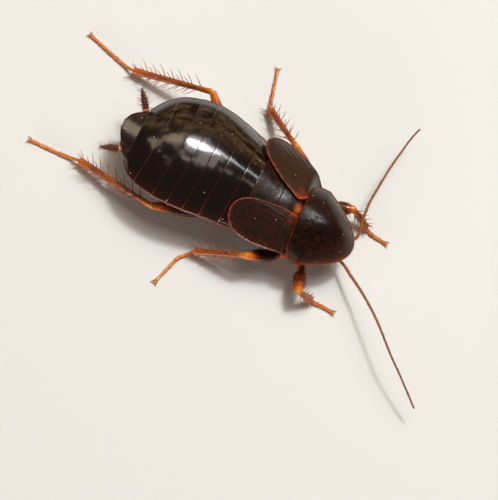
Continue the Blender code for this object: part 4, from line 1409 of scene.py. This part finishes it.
    def spots(self) -> Patch:
        """The two pale eye spots beside the sockets, low domes on the face."""
        axes = np.array([self.down * 0.1, LEFT * 0.075, self.out * 0.04])
        return join([ball(self.place(0.37, side * 0.35, 0.475), axes, tone=1.0) for side in (1, -1)])

    def build(self) -> None:
        """Makes the head."""
        make_piece("head_capsule", [self.capsule(), self.spots()], FACE, ("head",))
        make_piece("mouth_parts", self.mouth_parts(), FACE, ("head",))
        for side, label in ((1, "left"), (-1, "right")):
            make_piece(f"eye_dome_{label}", [self.eye(side)], EYE, (f"eye_{label}",))


@dataclass
class Antenna:
    """One feeler: a stout first joint, a short second and a whip of many small rings."""

    head: Head
    side: int
    stations: tuple[Place, ...]
    rings: int = 62
    points_per_ring: int = 8
    base_points: int = 60
    scape_end: float = 0.72
    pedicel_end: float = 0.95
    base_radius: float = 0.095
    tip_radius: float = 0.045
    ring_depth: float = 0.14
    hair_count: int = 900

    def build(self) -> Patch:
        """Makes the feeler; the whip's radius is taper x (1 - depth |cos|^6), one beat a ring.

        Returns:
            Its fine hairs.
        """
        label = "left" if self.side > 0 else "right"
        socket = self.head.place(self.head.socket_along, self.side * self.head.socket_spread, 0.4)
        stations = [socket, socket + self.head.out * 0.42 + LEFT * 0.05 * self.side, *self.stations]
        count = self.rings * self.points_per_ring + self.base_points
        path = smooth_path(stations, count)
        arc = np.linalg.norm(np.diff(path, axis=0), axis=1).sum() * np.linspace(0.0, 1.0, count)
        first, second = self.scape_end, self.pedicel_end
        scape = 0.13 + 0.05 * np.sin(math.pi * np.clip(arc / first, 0, 1)) ** 0.7
        pedicel = 0.1 + 0.03 * np.sin(math.pi * np.clip((arc - first) / (second - first), 0, 1))
        whip_share = np.clip((arc - second) / (arc[-1] - second), 0.0, 1.0)
        beat = np.abs(np.cos(math.pi * self.rings * whip_share ** 0.85)) ** 6
        taper = self.base_radius + (self.tip_radius - self.base_radius) * whip_share**0.8
        whip = taper * (1 - self.ring_depth * beat)
        size = np.where(arc < first, scape, np.where(arc < second, pedicel, whip))
        size = size * (1 - 0.45 * bell(arc, first, 0.05) - 0.3 * bell(arc, second, 0.04))
        size[-3:] *= (0.8, 0.5, 0.15)
        tone = np.where(arc < second, 0.85, 0.62 - 0.35 * whip_share) + 0.22 * beat * (arc > second)
        make_piece(f"antenna_{label}", [tube(path, size, size, sides=12, tone=tone)], FEELER,
                   (f"scape_{label}", f"flagellum_{label}"))
        rng = np.random.default_rng(SEED + self.side)
        pick = rng.integers(70, count - 4, self.hair_count)
        return limb_hairs(path, size, size, pick, rng, 0.09, 0.007, 0.75, 2 if self.side > 0 else 3)


def limb_hairs(path: Array, across_size: Array, upright_size: Array, pick: Array,
               rng: np.random.Generator, length: float, radius: float, lean: float, tile: int) -> Patch:
    """Fine hairs over a limb, leaning to its tip.

    Args:
        path: the limb's middle.
        across_size: half size at each point.
        upright_size: the other half size.
        pick: numbers of the path points that carry a hair.
        rng: source of the turns and lengths.
        length: mean length.
        radius: radius at the root.
        lean: share of the direction that runs along the limb.
        tile: number of the limb's strip on the unwrap.

    Returns:
        The hairs, rooted on the oval section at a random turn, their tips above the floor.
    """
    sunk, lowest = 0.93, 0.02
    ways = unit(np.gradient(path, axis=0))[pick]
    across = unit(np.cross(UP, ways))
    upright = np.cross(ways, across)
    turn = rng.uniform(0.0, 2 * math.pi, len(pick))
    a, b = np.cos(turn)[:, None], np.sin(turn)[:, None]
    outward = unit(a * across + b * upright)
    roots = path[pick] + sunk * (a * across * across_size[pick, None]
                                 + b * upright * upright_size[pick, None])
    reach = length * rng.uniform(0.7, 1.3, len(pick))[:, None]
    tips = roots + reach * unit(outward * (1 - lean) + ways * lean)
    tips[:, 2] = np.maximum(tips[:, 2], lowest)
    round_share = turn / (2 * math.pi) / UNWRAP_STRIPS * 0.9
    places = np.stack([tile / UNWRAP_STRIPS + round_share + 0.003, 0.02 + 0.96 * pick / len(path)], axis=1)
    return hairs(roots, tips, radius, places)


@dataclass(frozen=True)
class LimbProfile:
    """Stations along a limb piece: share of its length, half sizes across and upright, tone."""

    shares: tuple[float, ...]
    across: tuple[float, ...]
    upright: tuple[float, ...]
    tone: tuple[float, ...]
    rows: int = 34
    cap: float = 0.04

    def with_painted_shade(self, painted_shade: float) -> LimbProfile:
        """The same stations, with the tone of all but the last two less by painted_shade: painted shade on a
        thigh.
        """
        return replace(self, tone=(*(tone - painted_shade for tone in self.tone[:-2]), *self.tone[-2:]))


HIP = LimbProfile((-0.1, 0.1, 0.4, 0.75, 1.0), (0.2, 0.4, 0.44, 0.33, 0.2), (0.2, 0.32, 0.32, 0.28, 0.2),
                  (0.4, 0.45, 0.4, 0.45, 0.6))
HIP_RING = LimbProfile((0.0, 0.35, 0.7, 1.0), (0.16, 0.25, 0.24, 0.16), (0.16, 0.25, 0.24, 0.16),
                       (0.6, 0.7, 0.55, 0.5), rows=14)
THIGH = LimbProfile((0.0, 0.12, 0.38, 0.65, 0.86, 1.0), (0.14, 0.26, 0.41, 0.36, 0.24, 0.19),
                    (0.14, 0.24, 0.27, 0.26, 0.2, 0.17), (0.55, 0.45, 0.32, 0.4, 0.62, 0.85), rows=44)
SHIN = LimbProfile((0.0, 0.05, 0.16, 0.5, 0.85, 0.97, 1.0), (0.13, 0.17, 0.145, 0.17, 0.2, 0.22, 0.16),
                   (0.13, 0.17, 0.14, 0.155, 0.175, 0.19, 0.14), (0.85, 0.7, 0.5, 0.42, 0.48, 0.62, 0.75),
                   rows=60)
# turn round the shin in degrees, first and last share along it, spines fewer than the leg's own count
SPINE_LINES = ((18.0, 0.2, 0.86, 0), (162.0, 0.16, 0.82, 0), (75.0, 0.24, 0.8, 1),
               (120.0, 0.3, 0.86, 1), (-35.0, 0.3, 0.88, 1), (-145.0, 0.34, 0.84, 1))
SMALL_SPINE = 0.62
# the spurs round the shin's end: turn in degrees, size
SPURS = ((0.0, 0.95), (60.0, 0.6), (120.0, 0.6), (180.0, 0.85), (-50.0, 0.8), (-130.0, 0.7))
SPUR_SHARE = 0.955
# shares of the foot's length at which its five joints end
FOOT_JOINTS = (0.0, 0.44, 0.6, 0.72, 0.81, 1.0)


@dataclass
class Leg:
    """One leg: hip, ring, thigh, shin with long movable spines, five foot joints, claws and pad."""

    label: str
    root: tuple[float, float]
    hip: tuple[float, float]
    knee: Place
    ankle: tuple[float, float]
    foot: tuple[tuple[float, float], ...]
    spine_rows: int
    spine_length: float
    tile: int
    thigh_spines: int = 4
    # Painted shade taken off the thigh's tone, all but the knee: the thighs of both front legs and of the
    # right legs lie in shadow; on the hind left leg it also deepens the thigh's own colour.
    painted_shade: float = 0.0
    root_height: float = 0.8
    hip_height: float = 0.75
    ankle_height: float = 0.34
    foot_height: float = 0.12
    spine_radius: float = 0.031

    def __post_init__(self) -> None:
        """Works out the joints in survey millimetres."""
        self.p_root = np.array([*self.root, self.root_height])
        self.p_hip = np.array([*self.hip, self.hip_height])
        self.p_knee = np.array(self.knee)
        self.p_ankle = np.array([*self.ankle, self.ankle_height])

    def axes(self, start: Array, end: Array) -> tuple[Array, Array, Array]:
        """Way along a limb piece, level direction across it, and the upright one.

        Args:
            start: where the piece begins.
            end: where it ends.

        Returns:
            Three unit directions.
        """
        way = unit(end - start)
        across = unit(np.cross(UP, way))
        return way, across, np.cross(way, across)

    def segment(self, start: Array, end: Array, profile: LimbProfile) -> tuple[Patch, Array, Array, Array]:
        """One straight limb piece with rounded ends.

        Args:
            start: where it begins.
            end: where it ends.
            profile: its stations.

        Returns:
            The tube, its path and both half sizes: smooth curves through the stations, times
            sqrt(1 - (1 - d / cap)^2) at a share d of less than the cap from an end.
        """
        shares, reach = profile.shares, profile.cap
        first, last = shares[0], shares[-1]
        ends = reach * (1 - np.cos(np.linspace(0, math.pi / 2, 5, endpoint=False)))
        along = np.concatenate([first + ends, np.linspace(first + reach, last - reach, profile.rows),
                                last - ends[::-1]])
        from_end = np.minimum(along - first, last - along)
        cap = np.where(from_end < reach, np.sqrt(np.clip(1 - (1 - from_end / reach) ** 2, 0.02, 1.0)), 1.0)
        a = smooth_curve(along, shares, profile.across) * cap
        b = smooth_curve(along, shares, profile.upright) * cap
        path = start + np.outer(along, end - start)
        return tube(path, a, b, sides=28, tone=smooth_curve(along, shares, profile.tone)), path, a, b

    def coat(self, limb: tuple[Array, Array, Array], pick: Array, rng: np.random.Generator, length: float,
             radius: float, lean: float) -> Patch:
        """Fine hairs over one limb piece, given as its path and both half sizes."""
        return limb_hairs(*limb, pick, rng, length, radius, lean, self.tile)

    def upper(self) -> tuple[list[Patch], list[Patch]]:
        """Hip, ring and thigh with the roots and tips of its spines, and their hairs.

        Returns:
            The horn and the hairs.
        """
        hip, *hip_limb = self.segment(self.p_root, self.p_hip, HIP)
        way, across, _ = self.axes(self.p_hip, self.p_knee)
        size = np.linalg.norm(self.p_knee - self.p_hip)
        ring, *_ = self.segment(self.p_hip - way * 0.14, self.p_hip + way * 0.5, HIP_RING)
        # The thigh, with painted shade where the leg lies in shadow.
        thigh, *thigh_limb = self.segment(self.p_hip + way * 0.2, self.p_knee + way * 0.1,
                                          THIGH.with_painted_shade(self.painted_shade))
        rng = np.random.default_rng(SEED + 7 * self.tile)
        thigh_pick = rng.integers(6, len(thigh_limb[0]) - 6, 110)
        coat = [self.coat(thigh_limb, thigh_pick, rng, 0.13, 0.008, 0.7)]
        hip_pick = rng.integers(8, len(hip_limb[0]) - 6, 40)
        coat.append(self.coat(hip_limb, hip_pick, rng, 0.12, 0.008, 0.6))
        shares = np.linspace(0.34, 0.82, self.thigh_spines)
        rear = across * np.where(np.dot(across, AHEAD) < 0, 1.0, -1.0)
        base = self.p_hip + np.outer(shares * size, way)
        roots = np.vstack([base + rear * 0.2 - UP * 0.14, base - rear * 0.14 - UP * 0.16])
        lean = unit(np.vstack([np.tile(rear * 0.8 - UP * 0.55 + way * 0.5, (len(shares), 1)),
                               np.tile(-rear * 0.6 - UP * 0.7 + way * 0.5, (len(shares), 1))]))
        tips = roots + lean * 0.42 * (0.8 + 0.3 * np.tile(shares, 2)[:, None])
        tips[:, 2] = np.maximum(tips[:, 2], 0.08)
        self.thigh_thorns = (roots, tips)
        return [hip, ring, thigh], coat

    def shin(self) -> tuple[list[Patch], list[Patch], list[Patch]]:
        """The shin, its spines with their sockets, and its hairs.

        Returns:
            The horn, the spines and the hairs.
        """
        way, across, upright = self.axes(self.p_knee, self.p_ankle)
        length = float(np.linalg.norm(self.p_ankle - self.p_knee))
        shin, *limb = self.segment(self.p_knee - way * 0.08, self.p_ankle + way * 0.04, SHIN)
        shares, angles, sizes = [], [], []
        for turn, start, stop, fewer in SPINE_LINES:
            count = max(self.spine_rows - fewer, 2)
            shares.append(np.linspace(start, stop, count))
            angles.append(np.full(count, math.radians(turn)))
            sizes.append(np.full(count, SMALL_SPINE if fewer else 1.0))
        spur_turns, spur_sizes = np.array(SPURS).T
        shares.append(np.full(len(SPURS), SPUR_SHARE))
        angles.append(np.radians(spur_turns))
        sizes.append(spur_sizes)
        share, angle, size = np.concatenate(shares), np.concatenate(angles), np.concatenate(sizes)
        rng = np.random.default_rng(SEED + 31 * self.tile)
        angle = angle + rng.uniform(-0.12, 0.12, len(angle))
        size = size * rng.uniform(0.88, 1.1, len(size)) * self.spine_length
        outward = np.cos(angle)[:, None] * across + np.sin(angle)[:, None] * upright
        roots = self.p_knee + np.outer(share * length, way) + outward * 0.12
        lean = unit(outward + way * np.where(share > 0.95, 1.3, 0.85)[:, None])
        tips = roots + lean * size[:, None]
        tips[:, 2] = np.maximum(tips[:, 2], 0.06)
        bend = (outward * 0.05 - way * 0.02) * size[:, None]
        thigh_roots, thigh_tips = self.thigh_thorns
        spines = thorns(np.vstack([roots, thigh_roots]), np.vstack([tips, thigh_tips]), self.spine_radius,
                        sides=8, bend=np.vstack([bend, np.zeros_like(thigh_roots)]), tone=(0.1, 1.0),
                        rows=(0.0, 0.12, 0.3, 0.5, 0.7, 0.88), fullness=0.6)
        cups = [ball(root + out * 0.035, np.array([way * 0.06, np.cross(out, way) * 0.05, out * 0.035]),
                     10, 6, tone=0.5) for root, out in zip(roots, outward)]
        coat = self.coat(limb, rng.integers(5, len(limb[0]) - 4, 170), rng, 0.15, 0.008, 0.7)
        return [shin] + cups, [spines], [coat]

    def foot_parts(self) -> tuple[list[Patch], list[Patch], list[Patch]]:
        """Five foot joints, each widening to its end, with pads below, two claws and a pad between.

        Returns:
            The horn, the claws and the hairs.
        """
        stations = [self.p_ankle, *[np.array([*place, self.foot_height]) for place in self.foot]]
        first = self.p_ankle + (stations[1] - self.p_ankle) * 0.3
        first[2] = 0.16
        count = 110
        path = smooth_path([self.p_ankle, first, *stations[1:]], count)
        along = np.linspace(0.0, 1.0, count)
        ends = np.array(FOOT_JOINTS)
        index = np.clip(np.searchsorted(ends, along, side="right") - 1, 0, len(ends) - 2)
        local = (along - ends[index]) / (ends[index + 1] - ends[index])
        size = (0.078 + 0.036 * local**1.5) * (1 - 0.12 * index / 4)
        size = size * (1 - 0.32 * ease(0.93, 1.0, local)) * (0.6 + 0.4 * ease(0.0, 0.06, local))
        size[:2] *= (0.5, 0.85)
        size[-2:] *= (0.8, 0.4)
        path[:, 2] = np.maximum(path[:, 2], size + 0.005)
        tone = 0.62 + 0.3 * local * (index > 0) + 0.12 * ease(0.9, 1.0, local)
        foot = tube(path, size, size * 0.92, sides=16, tone=tone)
        soles = []
        for end in ends[1:-1]:
            spot = int(end * (count - 1)) - 2
            way = unit(path[spot + 1] - path[spot - 1])
            axes = np.array([way * 0.1, np.cross(UP, way) * 0.07, UP * 0.045])
            soles.append(ball(path[spot] - UP * size[spot] * 0.55, axes, 12, 8, tone=1.0))
        tip, way = path[-1], unit(path[-1] - path[-4])
        side_way = unit(np.cross(UP, way))
        signs = np.array([1.0, -1.0])[:, None]
        roots = tip - way * 0.05 + side_way * 0.035 * signs
        tips = roots + way * 0.3 + side_way * 0.16 * signs
        tips[:, 2] = 0.015
        hooks = thorns(roots, tips, 0.042, sides=10, bend=np.tile(UP * 0.07 + way * 0.03, (2, 1)),
                       tone=(0.0, 1.0), rows=(0.0, 0.15, 0.32, 0.5, 0.68, 0.84, 0.94), fullness=0.5)
        pad = ball(tip + way * 0.08 - UP * 0.03, np.array([way * 0.11, side_way * 0.085, UP * 0.05]),
                   14, 8, tone=0.9)
        rng = np.random.default_rng(SEED + 57 * self.tile)
        coat = self.coat((path, size, size), rng.integers(4, count - 4, 130), rng, 0.1, 0.007, 0.65)
        return [foot, pad] + soles, [hooks], [coat]

    def build(self) -> list[Patch]:
        """Makes the leg and its spines.

        Returns:
            The leg's hairs.
        """
        upper, upper_coat = self.upper()
        shin, spines, shin_coat = self.shin()
        foot, hooks, foot_coat = self.foot_parts()
        nodes = tuple(f"{part}_{self.label}" for part in ("coxa", "femur", "tibia", "tarsus"))
        make_piece(f"leg_{self.label}", upper + shin + foot, LEG, nodes)
        make_piece(f"spines_{self.label}", spines + hooks, THORN)
        return upper_coat + shin_coat + foot_coat


@dataclass
class TailFeeler:
    """One cercus: a ringed spindle with long hairs."""

    label: str
    start: Place
    end: Place
    tile: int
    rings: int = 10
    radius: float = 0.2
    ring_depth: float = 0.22
    rows: int = 90
    hair_count: int = 150

    def build(self) -> Patch:
        """Makes the tail feeler: radius = spindle x (1 - depth |cos|^4), one beat a ring.

        Returns:
            Its hairs.
        """
        start, end = np.array(self.start), np.array(self.end)
        way = unit(end - start)
        stations = [start - way * 0.3, start, (start + end) / 2 + UP * 0.03, end + way * 0.12]
        path = smooth_path(stations, self.rows)
        along = np.linspace(0.0, 1.0, self.rows)
        spindle = smooth_curve(along, (0.0, 0.15, 0.45, 0.8, 1.0), (0.62, 0.9, 1.0, 0.66, 0.12))
        beat = np.abs(np.cos(math.pi * self.rings * along)) ** 4
        size = self.radius * spindle * (1 - self.ring_depth * beat)
        tone = 0.2 + 0.25 * beat + 0.6 * bell(along, 0.26, 0.05)
        make_piece(f"tail_feeler_{self.label}", [tube(path, size, size * 0.85, sides=18, tone=tone)], FACE,
                   (f"cercus_{self.label}",))
        rng = np.random.default_rng(SEED + 91 * self.tile)
        pick = rng.integers(15, self.rows - 2, self.hair_count)
        return limb_hairs(path, size, size, pick, rng, 0.32, 0.008, 0.35, self.tile)


# painted_shade darkens the thighs that lie in shadow, both front legs and the right legs; on the hind left
# leg it also deepens the thigh's own colour.
LEGS = (
    Leg("front_left", (11.5, 1.25), (11.85, 1.88), (13.2, 2.4, 1.0), (14.3, 2.1), ((14.9, 1.95), (15.6, 1.9)),
        4, 0.5, 4, painted_shade=0.3),
    Leg("front_right", (11.72, -1.3), (12.08, -1.98), (12.48, -3.6, 1.4), (13.3, -3.25),
        ((13.9, -3.18), (14.62, -3.2)), 4, 0.5, 5, painted_shade=0.25),
    Leg("middle_left", (10.15, 0.8), (11.0, 2.3), (8.84, 3.75, 1.8), (6.61, 5.79), ((6.34, 6.9), (6.0, 8.25)),
        5, 0.72, 6),
    Leg("middle_right", (9.95, -0.75), (10.9, -1.75), (9.12, -3.36, 1.8), (6.57, -3.9),
        ((6.02, -4.5), (5.78, -5.24), (5.5, -6.3)), 5, 0.72, 7, painted_shade=0.34),
    Leg("hind_left", (7.65, 0.75), (6.2, 1.8), (3.45, 4.32, 1.8), (-1.02, 3.95),
        ((-2.45, 4.35), (-3.95, 4.78)), 7, 0.82, 8, thigh_spines=5, painted_shade=0.26),
    Leg("hind_right", (7.75, -0.7), (6.6, -1.5), (3.39, -3.17, 1.45), (-1.18, -2.3),
        ((-2.81, -2.4), (-3.95, -2.46)), 7, 0.82, 9, thigh_spines=5, painted_shade=0.34),
)
ANTENNA_STATIONS = {
    1: ((14.0, 0.96, 0.88), (13.88, 1.75, 1.42), (13.77, 2.85, 1.66), (13.83, 3.87, 1.74), (13.92, 5.1, 1.83),
        (14.1, 6.4, 1.9), (14.3, 7.6, 1.82), (14.5, 8.32, 1.7)),
    -1: ((14.1, -0.8, 0.9), (14.6, -1.2, 1.05), (15.41, -1.81, 1.3), (16.54, -2.78, 1.6), (17.3, -3.5, 1.69),
         (18.2, -4.38, 1.68), (19.36, -5.31, 1.5), (20.72, -6.36, 1.1)),
}


@dataclass(frozen=True)
class Lamp:
    """A soft oval lamp that faces the animal's middle, its width running along the given way."""

    name: str
    direction: Place
    distance: float
    size: tuple[float, float]
    power: float
    colour: Colour
    along: Place = (0.99, -0.04, -0.13)
    mirrored: bool = True

    def build(self) -> None:
        """Makes the lamp: metres from the middle, metres across, watts."""
        data = bpy.data.lights.new(self.name, "AREA")
        data.shape = "ELLIPSE"
        data.size, data.size_y = self.size
        data.energy = self.power
        data.color = self.colour
        thing = bpy.data.objects.new(self.name, data)
        way, along = unit(np.array(self.direction)), np.array(self.along)
        across = unit(along - way * (along @ way))
        turn = Matrix(np.column_stack([across, np.cross(way, across), way]).tolist()).to_4x4()
        thing.matrix_world = Matrix.Translation((way * self.distance).tolist()) @ turn
        thing.visible_glossy = self.mirrored
        bpy.context.scene.collection.objects.link(thing)


LAMPS = (
    Lamp("window_lamp", (0.07, 0.46, 0.885), 0.2, (0.07, 0.013), 0.05, (0.82, 0.9, 1.0)),
    Lamp("window_side", (0.06, 0.432, 0.89), 0.2, (0.056, 0.026), 0.07, (0.9, 0.94, 1.0)),
    Lamp("streak_lamp", (0.33, 0.475, 0.81), 0.2, (0.07, 0.012), 0.012, (0.92, 0.96, 1.0)),
    Lamp("edge_lamp", (-0.1, -0.97, 0.14), 0.2, (0.3, 0.016), 0.26, (1.0, 0.86, 0.82)),
    Lamp("sun_lamp", (0.1, 0.4, 0.9), 0.26, (0.035, 0.035), 0.2, (1.0, 0.98, 0.94),
         (0.0, 1.0, 0.0), False),
    Lamp("fill_lamp", (0.1, 0.4, 0.9), 0.26, (0.2, 0.2), 0.33, (1.0, 0.98, 0.94),
         (0.0, 1.0, 0.0), False),
)


@dataclass
class Studio:
    """Camera at the photograph's angle, soft lamps and a plain pale floor."""

    camera_place: Place = (-1.38, -47.438, 102.194)
    camera_right: Place = (0.8858, 0.4206, 0.1961)
    camera_up: Place = (-0.4641, 0.8028, 0.3744)
    camera_back: Place = (0.0, -0.4226, 0.9063)
    focal_pixels: float = 2056.0
    frame_width: float = 498.0
    axis_offset: tuple[float, float] = (9.2, 68.2)
    sensor_width: float = 36.0
    floor_half: float = 0.6
    floor_colour: Colour = (0.71, 0.715, 0.69)
    floor_roughness: float = 0.75
    # the surrounding light: noise scale, detail and share that shift the direction looked in
    ripple: Place = (5.0, 3.0, 0.26)
    # noise scale and detail, and the colours that the noise picks
    glow_noise: tuple[float, float] = (9.0, 6.0)
    glow_stops: tuple[tuple[float, Colour], ...] = (
        (0.42, (0.06, 0.025, 0.01)), (0.66, (1.12, 0.72, 0.34)),
    )
    glow_lean: float = -0.17
    glow_side: tuple[float, float] = (0.58, 0.68)
    glow_height: tuple[float, float] = (0.06, 0.2)
    dim_colour: Colour = (0.085, 0.07, 0.06)
    horizon_colour: Colour = (0.5, 0.44, 0.37)
    horizon_height: tuple[float, float] = (0.03, 0.12)
    # direction, inner and outer radius in degrees, colour
    soft_patches: tuple[tuple[Place, float, float, Colour], ...] = (
        ((0.18, 0.38, 0.91), 1.0, 13.0, (1.9, 1.62, 1.4)),
        ((-0.2, 0.34, 0.92), 1.0, 10.0, (0.75, 0.6, 0.46)),
        ((-0.43, 0.35, 0.835), 2.0, 9.0, (1.9, 1.6, 1.05)),
    )

    def camera(self) -> None:
        """The camera, turned so that the frame's middle looks along its axis."""
        right, up, back = (unit(np.array(v)) for v in (self.camera_right, self.camera_up, self.camera_back))
        middle = unit(-back * self.focal_pixels + right * self.axis_offset[0] - up * self.axis_offset[1])
        back = -middle
        right = unit(right - back * (right @ back))
        up = np.cross(back, right)
        data = bpy.data.cameras.new("photo_camera")
        data.sensor_width = self.sensor_width
        data.lens = self.sensor_width * self.focal_pixels / self.frame_width
        data.clip_start, data.clip_end = 0.005, 5.0
        thing = bpy.data.objects.new("photo_camera", data)
        turn = Matrix(np.column_stack([right, up, back]).tolist()).to_4x4()
        thing.matrix_world = Matrix.Translation([c * MM for c in self.camera_place]) @ turn
        bpy.context.scene.collection.objects.link(thing)
        bpy.context.scene.camera = thing

    def floor(self) -> None:
        """The plain pale floor, one level square."""
        mesh = bpy.data.meshes.new("studio_floor")
        corners = ((-1, -1), (1, -1), (1, 1), (-1, 1))
        mesh.from_pydata([(x * self.floor_half, y * self.floor_half, 0.0) for x, y in corners], [],
                         [(0, 1, 2, 3)])
        material = bpy.data.materials.new("pale_floor")
        material.use_nodes = True
        shader = material.node_tree.nodes["Principled BSDF"]
        shader.inputs["Base Color"].default_value = (*self.floor_colour, 1.0)
        shader.inputs["Roughness"].default_value = self.floor_roughness
        mesh.materials.append(material)
        thing = bpy.data.objects.new("studio_floor", mesh)
        bpy.context.scene.collection.objects.link(thing)

    def air(self) -> None:
        """The surrounding light: dim all round, with a mottled olive-brown glow low on the left.

        The glow's share is a smooth step of left + lean x forward of the direction looked in, times
        one of its height, and noise over directions sets how bright and how brown it is. The
        horizon is pale. Each soft patch adds its colour, fading from its inner to its outer radius.
        Noise shifts the direction a little, so no edge is even.
        """
        world = bpy.data.worlds.new("studio_air")
        world.use_nodes = True
        nodes = ShaderNodes(world.node_tree)
        straight = nodes.add("ShaderNodeTexCoord", {}, "Generated")
        scale, detail, shift = self.ripple
        ripple = nodes.noise(straight, scale, detail, "Color")
        centred = nodes.vector("SUBTRACT", {0: ripple, 1: (0.5, 0.5, 0.5)})
        way = nodes.vector("MULTIPLY_ADD", {0: centred, 1: (shift, shift, shift), 2: straight})
        parts = world.node_tree.nodes.new("ShaderNodeSeparateXYZ")
        nodes.feed(parts.inputs["Vector"], way)
        height = parts.outputs["Z"]
        tilted = nodes.number("MULTIPLY_ADD", parts.outputs["X"], self.glow_lean, parts.outputs["Y"])
        mottled = nodes.ramp(nodes.noise(way, *self.glow_noise), self.glow_stops, "LINEAR")
        glow = nodes.number("MULTIPLY", nodes.fade(tilted, *self.glow_side),
                            nodes.fade(height, *self.glow_height))
        around = nodes.mix(glow, (*self.dim_colour, 1.0), mottled)
        light = nodes.mix(nodes.fade(height, *self.horizon_height), (*self.horizon_colour, 1.0), around)
        for place, inner, outer, colour in self.soft_patches:
            near = nodes.vector("DOT_PRODUCT", {0: way, 1: tuple(unit(np.array(place)).tolist())}, "Value")
            low, high = math.cos(math.radians(outer)), math.cos(math.radians(inner))
            patch = nodes.vector("SCALE", {0: colour, "Scale": nodes.fade(near, low, high)})
            light = nodes.vector("ADD", {0: light, 1: patch})
        nodes.feed(world.node_tree.nodes["Background"].inputs["Color"], light)
        bpy.context.scene.world = world

    def build(self) -> None:
        """Sets up the camera, the lamps, the surrounding light and the floor."""
        self.camera()
        for lamp in LAMPS:
            lamp.build()
        self.air()
        bpy.context.scene.view_settings.view_transform = "Standard"
        self.floor()


def main() -> None:
    """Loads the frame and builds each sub-assembly in order."""
    logging.basicConfig(level=logging.INFO, format="%(message)s")
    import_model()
    Studio().build()
    trunk = Trunk()
    trunk.build()
    shield = Shield()
    shield.build()
    ForeWing(trunk, shield, 1, 1.47, 29.0, length=3.4, half_width=1.14).build()
    ForeWing(trunk, shield, -1, -1.55, 7.0).build()
    head = Head()
    head.build()
    coat = [Antenna(head, side, stations).build() for side, stations in ANTENNA_STATIONS.items()]
    make_piece("antenna_hairs", coat, HAIR, unwrap=True)
    for leg in LEGS:
        make_piece(f"hairs_{leg.label}", leg.build(), HAIR, unwrap=True)
    tails = [TailFeeler("left", (0.86, 1.24, 2.06), (0.1, 2.11, 2.5), 10).build(),
             TailFeeler("right", (0.58, -1.36, 2.06), (-0.32, -1.95, 2.5), 11).build()]
    make_piece("tail_hairs", tails, HAIR, unwrap=True)


if __name__ == "__main__":
    main()
